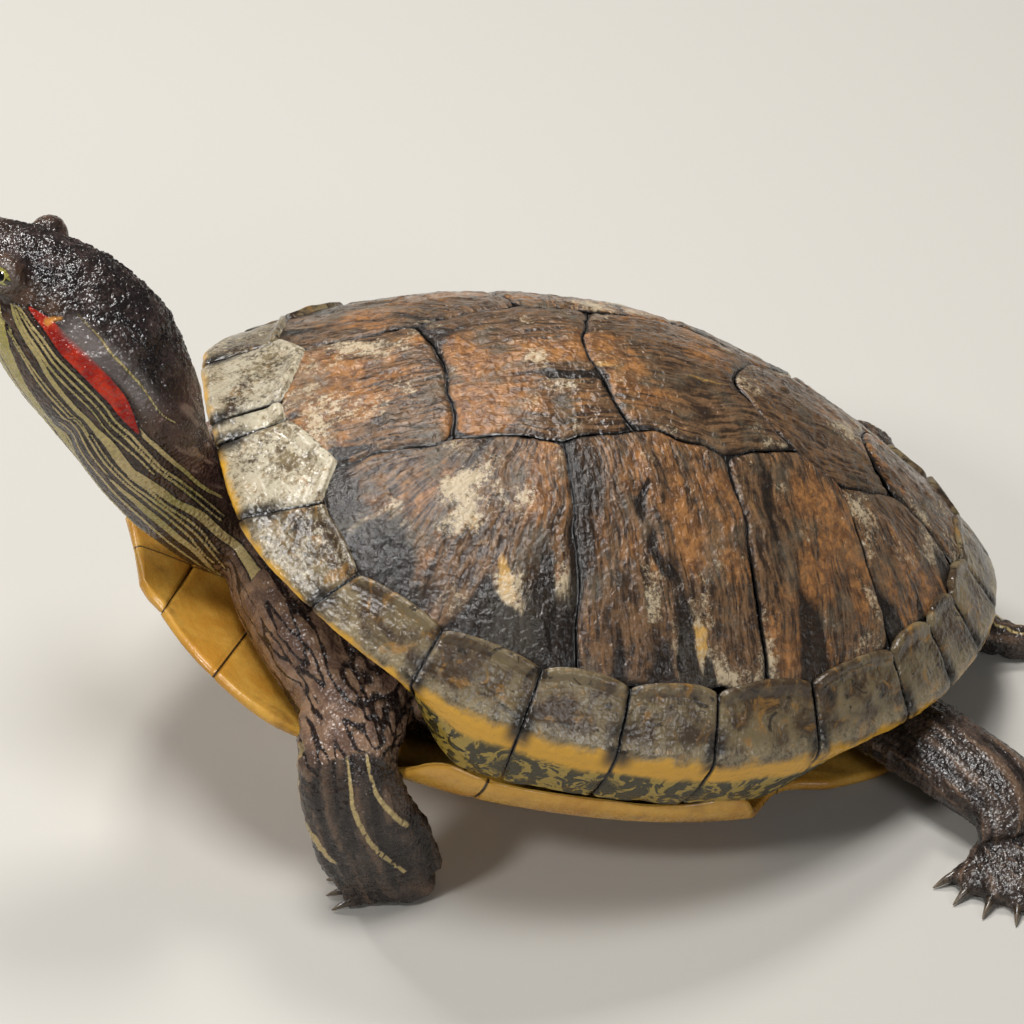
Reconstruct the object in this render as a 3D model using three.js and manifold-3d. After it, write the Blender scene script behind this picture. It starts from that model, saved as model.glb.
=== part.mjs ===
// Red-eared slider turtle (Trachemys scripta elegans), adult, life size, as a still model.
//
// The animal props itself up on its front feet, with its shell tilted nose-up, its hind feet spread
// and its neck stretched up and forward. It faces -Y, its left side is +X and the floor is z = 0.
//
// Body frame: the shell and everything that follows it are laid out level first, with x forward,
// y to the animal's left and z up from the widest part of the shell's rim. stand() then tilts a point
// of that frame and lifts it to where it stands on the floor. All lengths are in millimetres.

import * as THREE from "three";
import { mergeVertices } from "three/addons/utils/BufferGeometryUtils.js";
import Module from "manifold-3d";

const { Vector3, MathUtils } = THREE;
const { lerp, smoothstep, degToRad } = MathUtils;

const wasm = await Module();
wasm.setup();

// ---------------------------------------------------------------- driving dimensions

const GAP = 0.35; // thin cut that parts one piece from the next
const SEAM = 0.3; // how far each shell plate stays back from the middle of its seam

const SHELL_PITCH = degToRad(17.23); // the shell's nose-up tilt
const SHELL_LIFT = 49.05; // height of the body frame's origin over the floor

const CARAPACE_HALF_LENGTH = 110;
const CARAPACE_HALF_WIDTH = 91;
const CARAPACE_TOP = 60.35; // height of the dome over the widest part of the rim
const WIDEST_X = 4.86; // where the shell is widest
const RIM_RISE_FRONT = 18; // how far the rim sweeps up to the neck
const RIM_RISE_REAR = 10.5; // and to the tail
const RIM_RISE_POWER = 2.5;
const PLAN_POWER_FRONT = 2.342; // roundness of the outline in plan, 2 being an ellipse
const PLAN_POWER_REAR = 1.796;
const DOME_POWER = 1.846; // how flat the middle of the dome is
const DOME_EDGE_POWER = 0.763; // how steeply it comes down to the rim
const PLATE_THICKNESS = 3;
const RIM_FLARE = { amount: 0.025, angle: 0.38, spread: 0.2 }; // the rim turns out beside the neck
const RIM_FOLD = { reach: 0.115, drop: 4 }; // how far a rim plate folds back under itself, over the legs
const RIM_INNER = { reach: 0.05, rise: 0.5, wedge: 2.5 }; // and where its inner face runs there


const PLASTRON_LEVEL = -32; // the flat of the belly
const PLASTRON_THICKNESS = 3.5;
const BRIDGE_REACH = 0.923; // share of the half width at which the belly plates meet the rim plates
const BRIDGE_RISE = 14;
const BRIDGE_CLEAR = 0.006; // and the share they stay back from them
const BRIDGE_START = 0.637; // and the share at which they start to rise
const BRIDGE_POWER = 4.5;
const BRIDGE_MIN_HALF_WIDTH = 40;
const BRIDGE_ENDS = { rear: [-66, -34], front: [50, 80] }; // where the bridge fades out over the legs
const BRIDGE_FOLD = { reach: 0.077, bottom: -16.8, bulge: 0.16, power: 0.9 }; // rim plates at the bridge
const BRIDGE_INNER = { reach: 0.038, shrink: 0.985, wall: 3.1, rise: 1.3 };
const FRONT_LOBE = { x: 66, reach: 52, rise: 11, power: 1.4 };
const REAR_LOBE = { x: -48, reach: 50, rise: 11, power: 1.6 };

const HEAD_YAW = degToRad(31); // turned to the animal's right
const HEAD_PITCH = degToRad(15.6); // over the shell's own tilt
const HEAD_ROLL = degToRad(3);
const EYES_AT = [164, -14, 54.5]; // midway between the eyes
const EYE_RADIUS = 5;
const EYE_APART = 11.2; // from the head's middle to the middle of an eye
const EYE_UP = 0.4;

// ---------------------------------------------------------------- frames and small tools

/** Tilts a point of the body frame nose-up and lifts it to its place over the floor. */
function stand(x, y, z) {
  const forward = x * Math.cos(SHELL_PITCH) - z * Math.sin(SHELL_PITCH);
  const up = x * Math.sin(SHELL_PITCH) + z * Math.cos(SHELL_PITCH);
  return new Vector3(y, -forward, up + SHELL_LIFT);
}

/** Turns a direction of the body frame as stand() turns a point. */
function standDirection(x, y, z) {
  return stand(x, y, z).sub(stand(0, 0, 0)).normalize();
}

const mix = (a, b, k) => a.map((value, i) => lerp(value, b[i], k));

/** A curve in plan through corner points, each stretch taking an equal share of 0 to 1. */
function polyline(...points) {
  return (k) => {
    const at = Math.min(Math.max(k, 0), 1) * (points.length - 1);
    const i = Math.min(Math.floor(at), points.length - 2);
    return mix(points[i], points[i + 1], at - i);
  };
}

/** Reads a value off a table of [place, value] rows by straight lines. */
function reading(table, at) {
  const last = table.length - 1;
  if (at <= table[0][0]) return table[0][1];
  if (at >= table[last][0]) return table[last][1];
  const i = table.findIndex((row) => row[0] > at);
  return lerp(table[i - 1][1], table[i][1], (at - table[i - 1][0]) / (table[i][0] - table[i - 1][0]));
}

/** A closed body from vertices and triangles, turned so that its faces point outward. */
function body(points, triangles) {
  let volume = 0;
  for (const [a, b, c] of triangles) {
    volume += points[a].dot(new Vector3().crossVectors(points[b], points[c]));
  }
  const turned = volume < 0 ? triangles.map(([a, b, c]) => [a, c, b]) : triangles;
  const geometry = new THREE.BufferGeometry().setFromPoints(points);
  geometry.setIndex(turned.flat());
  geometry.computeVertexNormals();
  return geometry;
}

/** A plate between an outer and an inner surface, both given as functions of s and t from 0 to 1. */
function plate(outer, inner, rows, columns) {
  const points = [];
  const triangles = [];
  const width = columns + 1;
  const layer = (rows + 1) * width;
  for (const surface of [outer, inner]) {
    for (let i = 0; i <= rows; i++) {
      for (let j = 0; j <= columns; j++) points.push(surface(i / rows, j / columns));
    }
  }
  const quad = (a, b, c, d) => triangles.push([a, b, c], [a, c, d]);
  for (let i = 0; i < rows; i++) {
    for (let j = 0; j < columns; j++) {
      const a = i * width + j;
      quad(a, a + width, a + width + 1, a + 1);
      quad(layer + a, layer + a + 1, layer + a + width + 1, layer + a + width);
    }
  }
  const edge = [];
  for (let j = 0; j < columns; j++) edge.push(j);
  for (let i = 0; i < rows; i++) edge.push(i * width + columns);
  for (let j = columns; j > 0; j--) edge.push(rows * width + j);
  for (let i = rows; i > 0; i--) edge.push(i * width);
  edge.forEach((a, k) => {
    const b = edge[(k + 1) % edge.length];
    quad(a, b, layer + b, layer + a);
  });
  return body(points, triangles);
}

/** A closed body skinned over rings of points, with a fan of triangles over each end. */
function loft(rings) {
  const count = rings[0].length;
  const points = rings.flat();
  const triangles = [];
  for (let i = 0; i < rings.length - 1; i++) {
    for (let j = 0; j < count; j++) {
      const a = i * count + j;
      const b = i * count + ((j + 1) % count);
      triangles.push([a, b, b + count], [a, b + count, a + count]);
    }
  }
  const ends = [
    [0, (a, b) => [b, a]],
    [rings.length - 1, (a, b) => [a, b]],
  ];
  for (const [i, order] of ends) {
    const middle = new Vector3();
    rings[i].forEach((point) => middle.addScaledVector(point, 1 / count));
    points.push(middle);
    for (let j = 0; j < count; j++) {
      const [a, b] = order(i * count + j, i * count + ((j + 1) % count));
      triangles.push([a, b, points.length - 1]);
    }
  }
  return body(points, triangles);
}

/** A ring of a tube: a rounded section about a middle, with its width and height directions. */
function ring(middle, across, upward, halfWidth, top, bottom, sides, power = 2) {
  const points = [];
  for (let j = 0; j < sides; j++) {
    const angle = (2 * Math.PI * (j + 0.5)) / sides;
    const c = Math.cos(angle);
    const s = Math.sin(angle);
    const w = halfWidth * Math.sign(c) * Math.abs(c) ** (2 / power);
    const h = (s > 0 ? top : bottom) * Math.sign(s) * Math.abs(s) ** (2 / power);
    points.push(middle.clone().addScaledVector(across, w).addScaledVector(upward, h));
  }
  return points;
}

/** A limb or tail: stations of middle, half width and half height along a smooth line. */
function limb(stations, across, sides, steps) {
  const line = new THREE.CatmullRomCurve3(stations.map((row) => row.at));
  const rings = [];
  for (let i = 0; i <= steps; i++) {
    const k = i / steps;
    const place = k * (stations.length - 1);
    const a = stations[Math.floor(place)];
    const b = stations[Math.min(Math.floor(place) + 1, stations.length - 1)];
    const share = place - Math.floor(place);
    const along = line.getTangent(k);
    const upward = new Vector3().crossVectors(along, across).normalize();
    const side = new Vector3().crossVectors(upward, along).normalize();
    const height = lerp(a.height, b.height, share);
    const width = lerp(a.width, b.width, share);
    rings.push(ring(line.getPoint(k), side, upward, width, height, height, sides));
  }
  return loft(rings);
}

/** The geometry as a solid that can be joined and cut. */
function solid(geometry) {
  const bare = new THREE.BufferGeometry();
  bare.setAttribute("position", geometry.getAttribute("position").clone());
  bare.setIndex(geometry.getIndex());
  const merged = mergeVertices(bare, 1e-4);
  return new wasm.Manifold(
    new wasm.Mesh({
      numProp: 3,
      vertProperties: new Float32Array(merged.getAttribute("position").array),
      triVerts: new Uint32Array(merged.getIndex().array),
    }),
  );
}

/** A solid with the room it needs about it: itself joined to copies moved a gap to each side. */
function withRoom(manifold) {
  let roomy = manifold;
  for (const x of [-GAP, GAP]) {
    for (const y of [-GAP, GAP]) {
      for (const z of [-GAP, GAP]) roomy = roomy.add(manifold.translate([x, y, z]));
    }
  }
  return roomy;
}

/** The largest piece of a solid, as geometry again. */
function geometryOf(manifold) {
  const pieces = manifold.decompose().sort((a, b) => b.volume() - a.volume());
  const mesh = pieces[0].getMesh();
  const geometry = new THREE.BufferGeometry();
  geometry.setAttribute("position", new THREE.BufferAttribute(mesh.vertProperties, 3));
  geometry.setIndex(new THREE.BufferAttribute(mesh.triVerts, 1));
  geometry.computeVertexNormals();
  return geometry;
}

// ---------------------------------------------------------------- carapace surface

/** A point in plan: angle 0 is the neck and pi the tail, and reach 1 is the rim. */
function planPoint(reach, angle) {
  const c = Math.cos(angle);
  const s = Math.sin(angle);
  const power = c > 0 ? PLAN_POWER_FRONT : PLAN_POWER_REAR;
  const length = c > 0 ? CARAPACE_HALF_LENGTH - WIDEST_X : CARAPACE_HALF_LENGTH + WIDEST_X;
  const x = WIDEST_X + Math.sign(c) * length * reach * Math.abs(c) ** (2 / power);
  const y = CARAPACE_HALF_WIDTH * reach * Math.sign(s) * Math.abs(s) ** (2 / power);
  return [x, y];
}

/** Half width of the shell's outline at a place along the body. */
function rimHalfWidth(x) {
  const power = x > WIDEST_X ? PLAN_POWER_FRONT : PLAN_POWER_REAR;
  const length = x > WIDEST_X ? CARAPACE_HALF_LENGTH - WIDEST_X : CARAPACE_HALF_LENGTH + WIDEST_X;
  const along = Math.min(1, Math.abs(x - WIDEST_X) / length);
  return CARAPACE_HALF_WIDTH * (1 - along ** power) ** (1 / power);
}

function rimHeight(x) {
  const rise = x > 0 ? RIM_RISE_FRONT : RIM_RISE_REAR;
  return rise * Math.abs(x / CARAPACE_HALF_LENGTH) ** RIM_RISE_POWER;
}

/** Height of the dome at a point in plan: full at the middle, down to the rim's height at the rim. */
function domeHeight(x, y) {
  const power = x > WIDEST_X ? PLAN_POWER_FRONT : PLAN_POWER_REAR;
  const length = x > WIDEST_X ? CARAPACE_HALF_LENGTH - WIDEST_X : CARAPACE_HALF_LENGTH + WIDEST_X;
  const along = (Math.abs(x - WIDEST_X) / length) ** power;
  const reach = Math.min(1, (along + (Math.abs(y) / CARAPACE_HALF_WIDTH) ** power) ** (1 / power));
  const rim = rimHeight(x);
  return rim + (CARAPACE_TOP - rim) * (1 - reach ** DOME_POWER) ** DOME_EDGE_POWER;
}

/** A point some depth under a height field, measured square to it. */
function under(height, x, y, depth) {
  const step = 0.5;
  const slopeX = (height(x + step, y) - height(x - step, y)) / (2 * step);
  const slopeY = (height(x, y + step) - height(x, y - step)) / (2 * step);
  const length = Math.hypot(slopeX, slopeY, 1);
  return [x + (slopeX / length) * depth, y + (slopeY / length) * depth, height(x, y) - depth / length];
}

// ---------------------------------------------------------------- carapace plates

// Reach of the seam between the rim plates and the costal plates, by angle from the neck.
const RING_REACH = [
  [0, 0.855],
  [0.28, 0.82],
  [0.46, 0.885],
  [0.68, 0.91],
  [1.5, 0.9],
  [2.1, 0.89],
  [2.8, 0.872],
  [Math.PI, 0.86],
];
const ringReach = (angle) => reading(RING_REACH, Math.abs(angle));
const ringPoint = (angle) => planPoint(ringReach(angle), angle);
const ringArc = (from, to) => (k) => ringPoint(lerp(from, to, k));

// Angles, from the neck, of the seams between the rim plates: nuchal to first, first to second and so on.
const RIM_SEAMS = [0.03, 0.302, 0.643, 0.985, 1.279, 1.499, 1.733, 2.022, 2.315, 2.5, 2.67, 2.87, Math.PI];
// How much farther from the neck each of those seams is where it meets the costal plates.
const SEAM_SLANTS = [0, 0.1, 0.035, 0, 0, 0, 0, 0, 0, 0, 0, 0, 0];

// Corners on the left side, where plates of the dome meet each other or the ring seam.
const FIRST_CORNER_ANGLE = 0.279;
const LAST_CORNER_ANGLE = 2.793;
const COSTAL_ANGLES = [FIRST_CORNER_ANGLE, 1.369, 1.88, 2.312, LAST_CORNER_ANGLE];
const V1_FRONT = ringPoint(FIRST_CORNER_ANGLE);
const V1_V2 = [59.25, 24.6];
const C1_C2 = [32.5, 29.75];
const V2_V3 = [14, 26];
const C2_C3 = [-11, 29];
const V3_V4 = [-33.5, 18.75];
const C3_C4 = [-46, 23.5];
const V4_V5 = [-68, 15];
const V5_SIDE = [-78, 17.5];
const V5_REAR = ringPoint(LAST_CORNER_ANGLE);

/** A surface patch in plan from its four edges, each a function of 0 to 1. */
function coons(front, rear, left, right) {
  return (s, t) => {
    const [a, b, c, d] = [front(0), front(1), rear(0), rear(1)];
    const blend = (i) =>
      lerp(front(t)[i], rear(t)[i], s) +
      lerp(left(s)[i], right(s)[i], t) -
      lerp(lerp(a[i], b[i], t), lerp(c[i], d[i], t), s);
    return [blend(0), blend(1)];
  };
}

/** Keeps a patch back from its edges by the same distance on every side. */
function inset(patch, distance) {
  const size = (p, q) => Math.hypot(p[0] - q[0], p[1] - q[1]);
  return (s, t) => {
    const tall = size(patch(0, t), patch(1, t));
    const wide = size(patch(s, 0), patch(s, 1));
    const ds = Math.min(0.2, distance / tall);
    const dt = Math.min(0.2, distance / wide);
    return patch(lerp(ds, 1 - ds, s), lerp(dt, 1 - dt, t));
  };
}

/** A plate of the dome over a patch in plan. */
function domePlate(patch, rows, columns) {
  const plan = inset(patch, 2 * SEAM);
  const surface = (depth) => (s, t) => stand(...under(domeHeight, ...plan(s, t), depth));
  return plate(surface(0), surface(PLATE_THICKNESS), rows, columns);
}

const mirrored = (curve) => (k) => {
  const [x, y] = curve(k);
  return [x, -y];
};

/** A seam across the back, from the left corner to its mirror image, bowed forward by an amount. */
const acrossSeam = (corner, bow) => (k) => {
  const across = 1 - 2 * k;
  return [corner[0] + bow * (1 - across * across), corner[1] * across];
};

function vertebralPlates() {
  const rows = [
    [ringArc(FIRST_CORNER_ANGLE, -FIRST_CORNER_ANGLE), acrossSeam(V1_V2, -2.2), [V1_FRONT, V1_V2]],
    [acrossSeam(V1_V2, -2.2), acrossSeam(V2_V3, 7.3), [V1_V2, C1_C2, V2_V3]],
    [acrossSeam(V2_V3, 7.3), acrossSeam(V3_V4, 13.5), [V2_V3, C2_C3, V3_V4]],
    [acrossSeam(V3_V4, 13.5), acrossSeam(V4_V5, 6), [V3_V4, C3_C4, V4_V5]],
    [acrossSeam(V4_V5, 6), (k) => ringPoint(lerp(LAST_CORNER_ANGLE, 2 * Math.PI - LAST_CORNER_ANGLE, k)),
      [V4_V5, V5_SIDE, V5_REAR]],
  ];
  return rows.map(([front, rear, corners]) => {
    const left = polyline(...corners);
    return domePlate(coons(front, rear, left, mirrored(left)), 4, 6);
  });
}

function costalPlates(side) {
  const tops = [[V1_V2, C1_C2], [C1_C2, V2_V3, C2_C3], [C2_C3, V3_V4, C3_C4], [C3_C4, V4_V5]];
  const seams = [[V1_FRONT, V1_V2], null, null, null, [V5_REAR, V5_SIDE, V4_V5]];
  const ends = [null, C1_C2, C2_C3, C3_C4, null];
  const seamAt = (i) => polyline(...(seams[i] ?? [ringPoint(COSTAL_ANGLES[i]), ends[i]]));
  return tops.map((top, i) => {
    const bottom = ringArc(COSTAL_ANGLES[i], COSTAL_ANGLES[i + 1]);
    const patch = coons(bottom, polyline(...top), seamAt(i), seamAt(i + 1));
    const sided = (s, t) => {
      const [x, y] = patch(s, t);
      return [x, y * side];
    };
    return domePlate(sided, 5, 4);
  });
}

/** How much of the bridge shows at a place along the body: 1 beside the belly, 0 over the legs. */
const bridgeShare = (x) =>
  smoothstep(x, ...BRIDGE_ENDS.rear) * (1 - smoothstep(x, ...BRIDGE_ENDS.front));

/** Moves a point of the rim plates outward by the flare beside the neck, full from the rim down. */
function flared([x, y, z], angle, q) {
  const beside = (Math.abs(angle) - RIM_FLARE.angle) / RIM_FLARE.spread;
  const grown = 1 + RIM_FLARE.amount * Math.exp(-(beside ** 2)) * Math.min(q, 1) ** 2;
  return [WIDEST_X + (x - WIDEST_X) * grown, y * grown, z];
}

/** The outside of a rim plate: q runs 0 to 1 from the ring seam to the rim, then to 2 underneath. */
function rimOutside(angle, q) {
  if (q <= 1) {
    const [x, y] = planPoint(lerp(ringReach(angle), 1, q), angle);
    return flared([x, y, domeHeight(x, y)], angle, q);
  }
  const k = q - 1;
  const [x, y] = planPoint(1, angle);
  const share = bridgeShare(x);
  const [innerX, innerY] = planPoint(1 - lerp(RIM_FOLD.reach, BRIDGE_FOLD.reach, share), angle);
  const drop = lerp(RIM_FOLD.drop, rimHeight(x) - BRIDGE_FOLD.bottom, share);
  const bulge = Math.sin(Math.PI * k) * BRIDGE_FOLD.bulge * share;
  const under = [
    lerp(x, innerX, k) + (x - innerX) * bulge,
    lerp(y, innerY, k) + (y - innerY) * bulge,
    rimHeight(x) - drop * k ** lerp(1, BRIDGE_FOLD.power, share),
  ];
  return flared(under, angle, q);
}

/** The inside of a rim plate, hollow beside the belly and a thick wedge over the legs. */
function rimInside(angle, q) {
  const [rimX, rimY] = planPoint(1, angle);
  const share = bridgeShare(rimX);
  const top = under(domeHeight, ...ringPoint(angle), PLATE_THICKNESS);
  const inner = planPoint(1 - lerp(RIM_INNER.reach, BRIDGE_INNER.reach, share), angle);
  const middle = flared([...inner, rimHeight(rimX) + RIM_INNER.rise], angle, 1);
  const [x, y, z] = rimOutside(angle, 2);
  const wedge = [x, y, z + RIM_INNER.wedge];
  const wallY = y - Math.sign(rimY) * BRIDGE_INNER.wall;
  const end = mix(wedge, [x * BRIDGE_INNER.shrink, wallY, z + BRIDGE_INNER.rise], share);
  return q <= 1 ? mix(top, middle, q) : mix(middle, end, q - 1);
}

const RIM_STEPS = 3;
const RIM_ROWS = [0.04, 0.35, 0.7, 1, 1.5, 2]; // places down a rim plate, just clear of the ring seam

/** A rim plate between two seams. */
function rimPlate(side, from, to, slantFrom, slantTo, steps) {
  const angleAt = (s, q) => {
    const back = SEAM / CARAPACE_HALF_WIDTH;
    const slant = 1 - Math.min(q, 1);
    return side * lerp(from + back + slantFrom * slant, to - back + slantTo * slant, s);
  };
  const row = (t) => RIM_ROWS[Math.round(t * (RIM_ROWS.length - 1))];
  const outer = (s, t) => stand(...rimOutside(angleAt(s, row(t)), row(t)));
  const inner = (s, t) => stand(...rimInside(angleAt(s, row(t)), row(t)));
  return plate(outer, inner, steps, RIM_ROWS.length - 1);
}

// ---------------------------------------------------------------- plastron plates

/** Height of the belly's underside: flat, with both lobes and the bridges rising from it. */
function bellyHeight(x, y) {
  const ahead = Math.max(0, (x - FRONT_LOBE.x) / FRONT_LOBE.reach);
  const behind = Math.max(0, (REAR_LOBE.x - x) / REAR_LOBE.reach);
  const share = Math.abs(y) / Math.max(BRIDGE_MIN_HALF_WIDTH, rimHalfWidth(x));
  const onLobe = x > FRONT_LOBE.x || x < REAR_LOBE.x;
  const out = onLobe ? 0 : Math.max(0, share - BRIDGE_START) / (BRIDGE_REACH - BRIDGE_START);
  const lobes = FRONT_LOBE.rise * ahead ** FRONT_LOBE.power + REAR_LOBE.rise * behind ** REAR_LOBE.power;
  return PLASTRON_LEVEL + lobes + BRIDGE_RISE * out ** BRIDGE_POWER;
}

// Each belly plate: its middle line from front to rear, and its left edge from front to rear.
const bridgeEdge = (x) => [x, (BRIDGE_REACH - BRIDGE_CLEAR) * rimHalfWidth(x)];
const BELLY_PLATES = [
  ["gular", [121, 105], [[121, 14], [119.5, 19.5], [116.5, 24]]],
  ["humeral", [105, 81], [[116.5, 24], [112, 34], [105, 43.5]]],
  ["pectoral", [81, 38], [[105, 43.5], [91, 55], [67, 62], bridgeEdge(56), bridgeEdge(41)]],
  ["abdominal", [38, -24], [bridgeEdge(41), bridgeEdge(16), bridgeEdge(-8), bridgeEdge(-30), [-47, 56]]],
  ["femoral", [-24, -66], [[-47, 56], [-64, 53], [-80, 48]]],
  ["anal", [-66, -92], [[-80, 48], [-93, 38], [-98, 20]]],
];

const BELLY_COLUMNS = [0, 0.45, 0.72, 0.86, 1]; // shares of the way out from the middle line

/** A belly plate from one side to the other, between its seams. */
function bellyPlate([, middle, edge]) {
  const middleLine = polyline([middle[0], 0], [middle[1], 0]);
  const edgeLine = polyline(...edge);
  const last = BELLY_COLUMNS.length - 1;
  const patch = (s, t) => {
    const out = BELLY_COLUMNS[Math.round(Math.abs(2 * t - 1) * last)];
    const [x, y] = mix(middleLine(s), edgeLine(s), out);
    return [x, t < 0.5 ? y : -y];
  };
  const plan = (s, t) => {
    const tall = Math.hypot(...patch(0, t).map((value, i) => value - patch(1, t)[i]));
    return patch(lerp((2 * SEAM) / tall, 1 - (2 * SEAM) / tall, s), t);
  };
  const surface = (depth) => (s, t) => stand(...under(bellyHeight, ...plan(s, t), depth));
  const rows = edge.length > 3 ? 4 : 2;
  return plate(surface(0), surface(-PLASTRON_THICKNESS), rows, 2 * last);
}

const onFloor = (manifold) => manifold.trimByPlane([0, 0, 1], 0);

// ---------------------------------------------------------------- trunk

// Rings of the trunk: reach in plan, and depth under the dome or share of the way down to the belly.
const TRUNK_DEPTH = PLATE_THICKNESS + 1.2;
const TRUNK_SIDES = 20;
const UPPER_RINGS = [
  { reach: 0.3, deeper: 1 },
  { reach: 0.56, deeper: 1.15 },
  { reach: 0.75, deeper: 1.5 },
];
const SIDE_RING = { reach: 0.82, depth: 5, down: 0.35 };
const LOWER_RINGS = [
  { reach: 0.82, share: 0.55 },
  { reach: 0.72, share: 1 },
  { reach: 0.4, share: 1 },
];

/** The trunk fills the shell, and closes it in front and behind where the neck and legs leave. */
function trunk(clearance) {
  const top = TRUNK_DEPTH - clearance;
  const floorOf = (x) => bellyHeight(x, 0) + PLASTRON_THICKNESS + 1 - clearance;
  const { reach: sideReach, depth, down } = SIDE_RING;
  const levels = [
    ...UPPER_RINGS.map(({ reach, deeper }) => [reach, (x, y) => domeHeight(x, y) - top * deeper]),
    [sideReach, (x, y) => lerp(domeHeight(x, y) - depth, 0, down)],
    ...LOWER_RINGS.map(({ reach, share }) => [reach, (x) => floorOf(x) * share]),
  ];
  const rings = levels.map(([reach, heightAt]) => {
    const points = [];
    for (let j = 0; j < TRUNK_SIDES; j++) {
      const [x, y] = planPoint(reach, (2 * Math.PI * j) / TRUNK_SIDES);
      points.push(stand(x, y, heightAt(x, y)));
    }
    return points;
  });
  return loft(rings);
}

// ---------------------------------------------------------------- head and neck

const HEAD_FORWARD = [
  Math.cos(HEAD_YAW) * Math.cos(HEAD_PITCH),
  -Math.sin(HEAD_YAW) * Math.cos(HEAD_PITCH),
  Math.sin(HEAD_PITCH),
];
const headForward = standDirection(...HEAD_FORWARD);
const levelLeft = standDirection(Math.sin(HEAD_YAW), Math.cos(HEAD_YAW), 0);
const headLeft = levelLeft.clone().applyAxisAngle(headForward, -HEAD_ROLL);
const headUp = new Vector3().crossVectors(headForward, headLeft).normalize();
const eyesAt = stand(...EYES_AT);

/** A point given by how far it is ahead of the eyes, to the left and up. */
function headPoint(ahead, left, up) {
  const point = eyesAt.clone().addScaledVector(headForward, ahead);
  return point.addScaledVector(headLeft, left).addScaledVector(headUp, up);
}

// The head from its back to the snout: distance ahead of the eyes, half width, crown and throat heights.
const HEAD_REAR = { ahead: -37, width: 18, crown: 9, throat: -31.5 };
const HEAD_STATIONS = [
  HEAD_REAR,
  { ahead: -29, width: 18.5, crown: 11, throat: -32.5 },
  { ahead: -21, width: 18.4, crown: 11.6, throat: -31.5 },
  { ahead: -13, width: 17.2, crown: 11.2, throat: -29 },
  { ahead: -6, width: 15.2, crown: 9.4, throat: -25.6 },
  { ahead: 0, width: 12.8, crown: 7.6, throat: -21.6 },
  { ahead: 6, width: 10.4, crown: 5.3, throat: -17.6 },
  { ahead: 11, width: 8, crown: 2.8, throat: -14.2 },
  { ahead: 14.5, width: 5.4, crown: 0.2, throat: -11 },
  { ahead: 16, width: 3, crown: -2.2, throat: -8 },
];
const HEAD_SIDES = 14;
const HEAD_POWER = 2.15; // how square the head's section is
const NECK_POWER = 2.1;

// The mouth's line, in the head's own frame: ahead of the eyes, and up.
const MOUTH = { snout: [20, -7.6], bend: [4, -10.6], corner: [-9.5, -9.2], hinge: -13.5 };
const MOUTH_STEPS = 6;
const BEYOND = 50; // reaches past the head on every side

function headRing({ ahead, width, crown, throat }) {
  const middle = (crown + throat) / 2;
  const half = (crown - throat) / 2;
  return ring(headPoint(ahead, 0, middle), headLeft, headUp, width, half, half, HEAD_SIDES, HEAD_POWER);
}

/** The mouth: a thin curved cut from the snout back to the corner of the jaw, and down behind it. */
function jawRegion(grow) {
  const { snout, bend, corner, hinge } = MOUTH;
  const outline = new THREE.Shape();
  outline.moveTo(snout[0], snout[1] + grow);
  outline.quadraticCurveTo(bend[0], bend[1] + grow, corner[0] - grow, corner[1] + grow);
  outline.lineTo(hinge - grow, -BEYOND);
  outline.lineTo(snout[0], -BEYOND);
  outline.closePath();
  const settings = { depth: 2 * BEYOND, bevelEnabled: false, curveSegments: MOUTH_STEPS };
  const region = new THREE.ExtrudeGeometry(outline, settings);
  region.translate(0, 0, -BEYOND);
  const toHead = new THREE.Matrix4().makeBasis(headForward, headUp, headLeft.clone().negate());
  toHead.setPosition(eyesAt);
  region.applyMatrix4(toHead);
  region.deleteAttribute("normal");
  region.deleteAttribute("uv");
  return mergeVertices(region, 1e-4);
}

const EYE_SIDES = 10;
const EYE_RINGS = 7;

function eye(side, grow) {
  const ball = new THREE.SphereGeometry(EYE_RADIUS + grow, EYE_SIDES, EYE_RINGS);
  const middle = headPoint(0, side * EYE_APART, EYE_UP);
  ball.translate(middle.x, middle.y, middle.z);
  ball.deleteAttribute("normal");
  ball.deleteAttribute("uv");
  return mergeVertices(ball, 1e-4);
}

// The neck from inside the trunk to the head: middle in the body frame, half width and half height.
const NECK_STATIONS = [
  { at: [80, 0, -8], width: 15, height: 13 },
  { at: [99, 1, -6.5], width: 15, height: 12.4 },
  { at: [113.5, 2.5, 2.5], width: 15.5, height: 13.6 },
  { at: [124.5, 3.5, 13.6], width: 16.4, height: 15.6 },
  { at: [131.5, 3.6, 24.4], width: 17.6, height: 18.4 },
];
const NECK_STEPS = 8;
const NECK_TURN = { along: 4, across: 1.5 }; // how late its rings turn to the head's own directions

/** The neck's rings, from inside the trunk to the back of the head. */
function neckRings() {
  const { ahead, width, crown, throat } = HEAD_REAR;
  const stations = [
    ...NECK_STATIONS.map((row) => [stand(...row.at), row.width, row.height]),
    [headPoint(ahead - GAP, 0, (crown + throat) / 2), width, (crown - throat) / 2],
  ];
  const line = new THREE.CatmullRomCurve3(stations.map((row) => row[0]));
  const bodyLeft = standDirection(0, 1, 0);
  const rings = [];
  for (let i = 0; i < NECK_STEPS; i++) {
    const k = i / NECK_STEPS;
    const place = k * (stations.length - 1);
    const a = stations[Math.floor(place)];
    const b = stations[Math.floor(place) + 1];
    const share = place - Math.floor(place);
    const along = line.getTangent(k).lerp(headForward, k ** NECK_TURN.along).normalize();
    const side = bodyLeft.clone().lerp(headLeft, k ** NECK_TURN.across);
    side.addScaledVector(along, -side.dot(along)).normalize();
    const upward = new Vector3().crossVectors(along, side);
    const [wide, high] = [lerp(a[1], b[1], share), lerp(a[2], b[2], share)];
    rings.push(ring(line.getPoint(k), side, upward, wide, high, high, HEAD_SIDES, NECK_POWER));
  }
  rings.push(headRing({ ...HEAD_REAR, ahead: ahead - GAP }));
  return rings;
}

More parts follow.
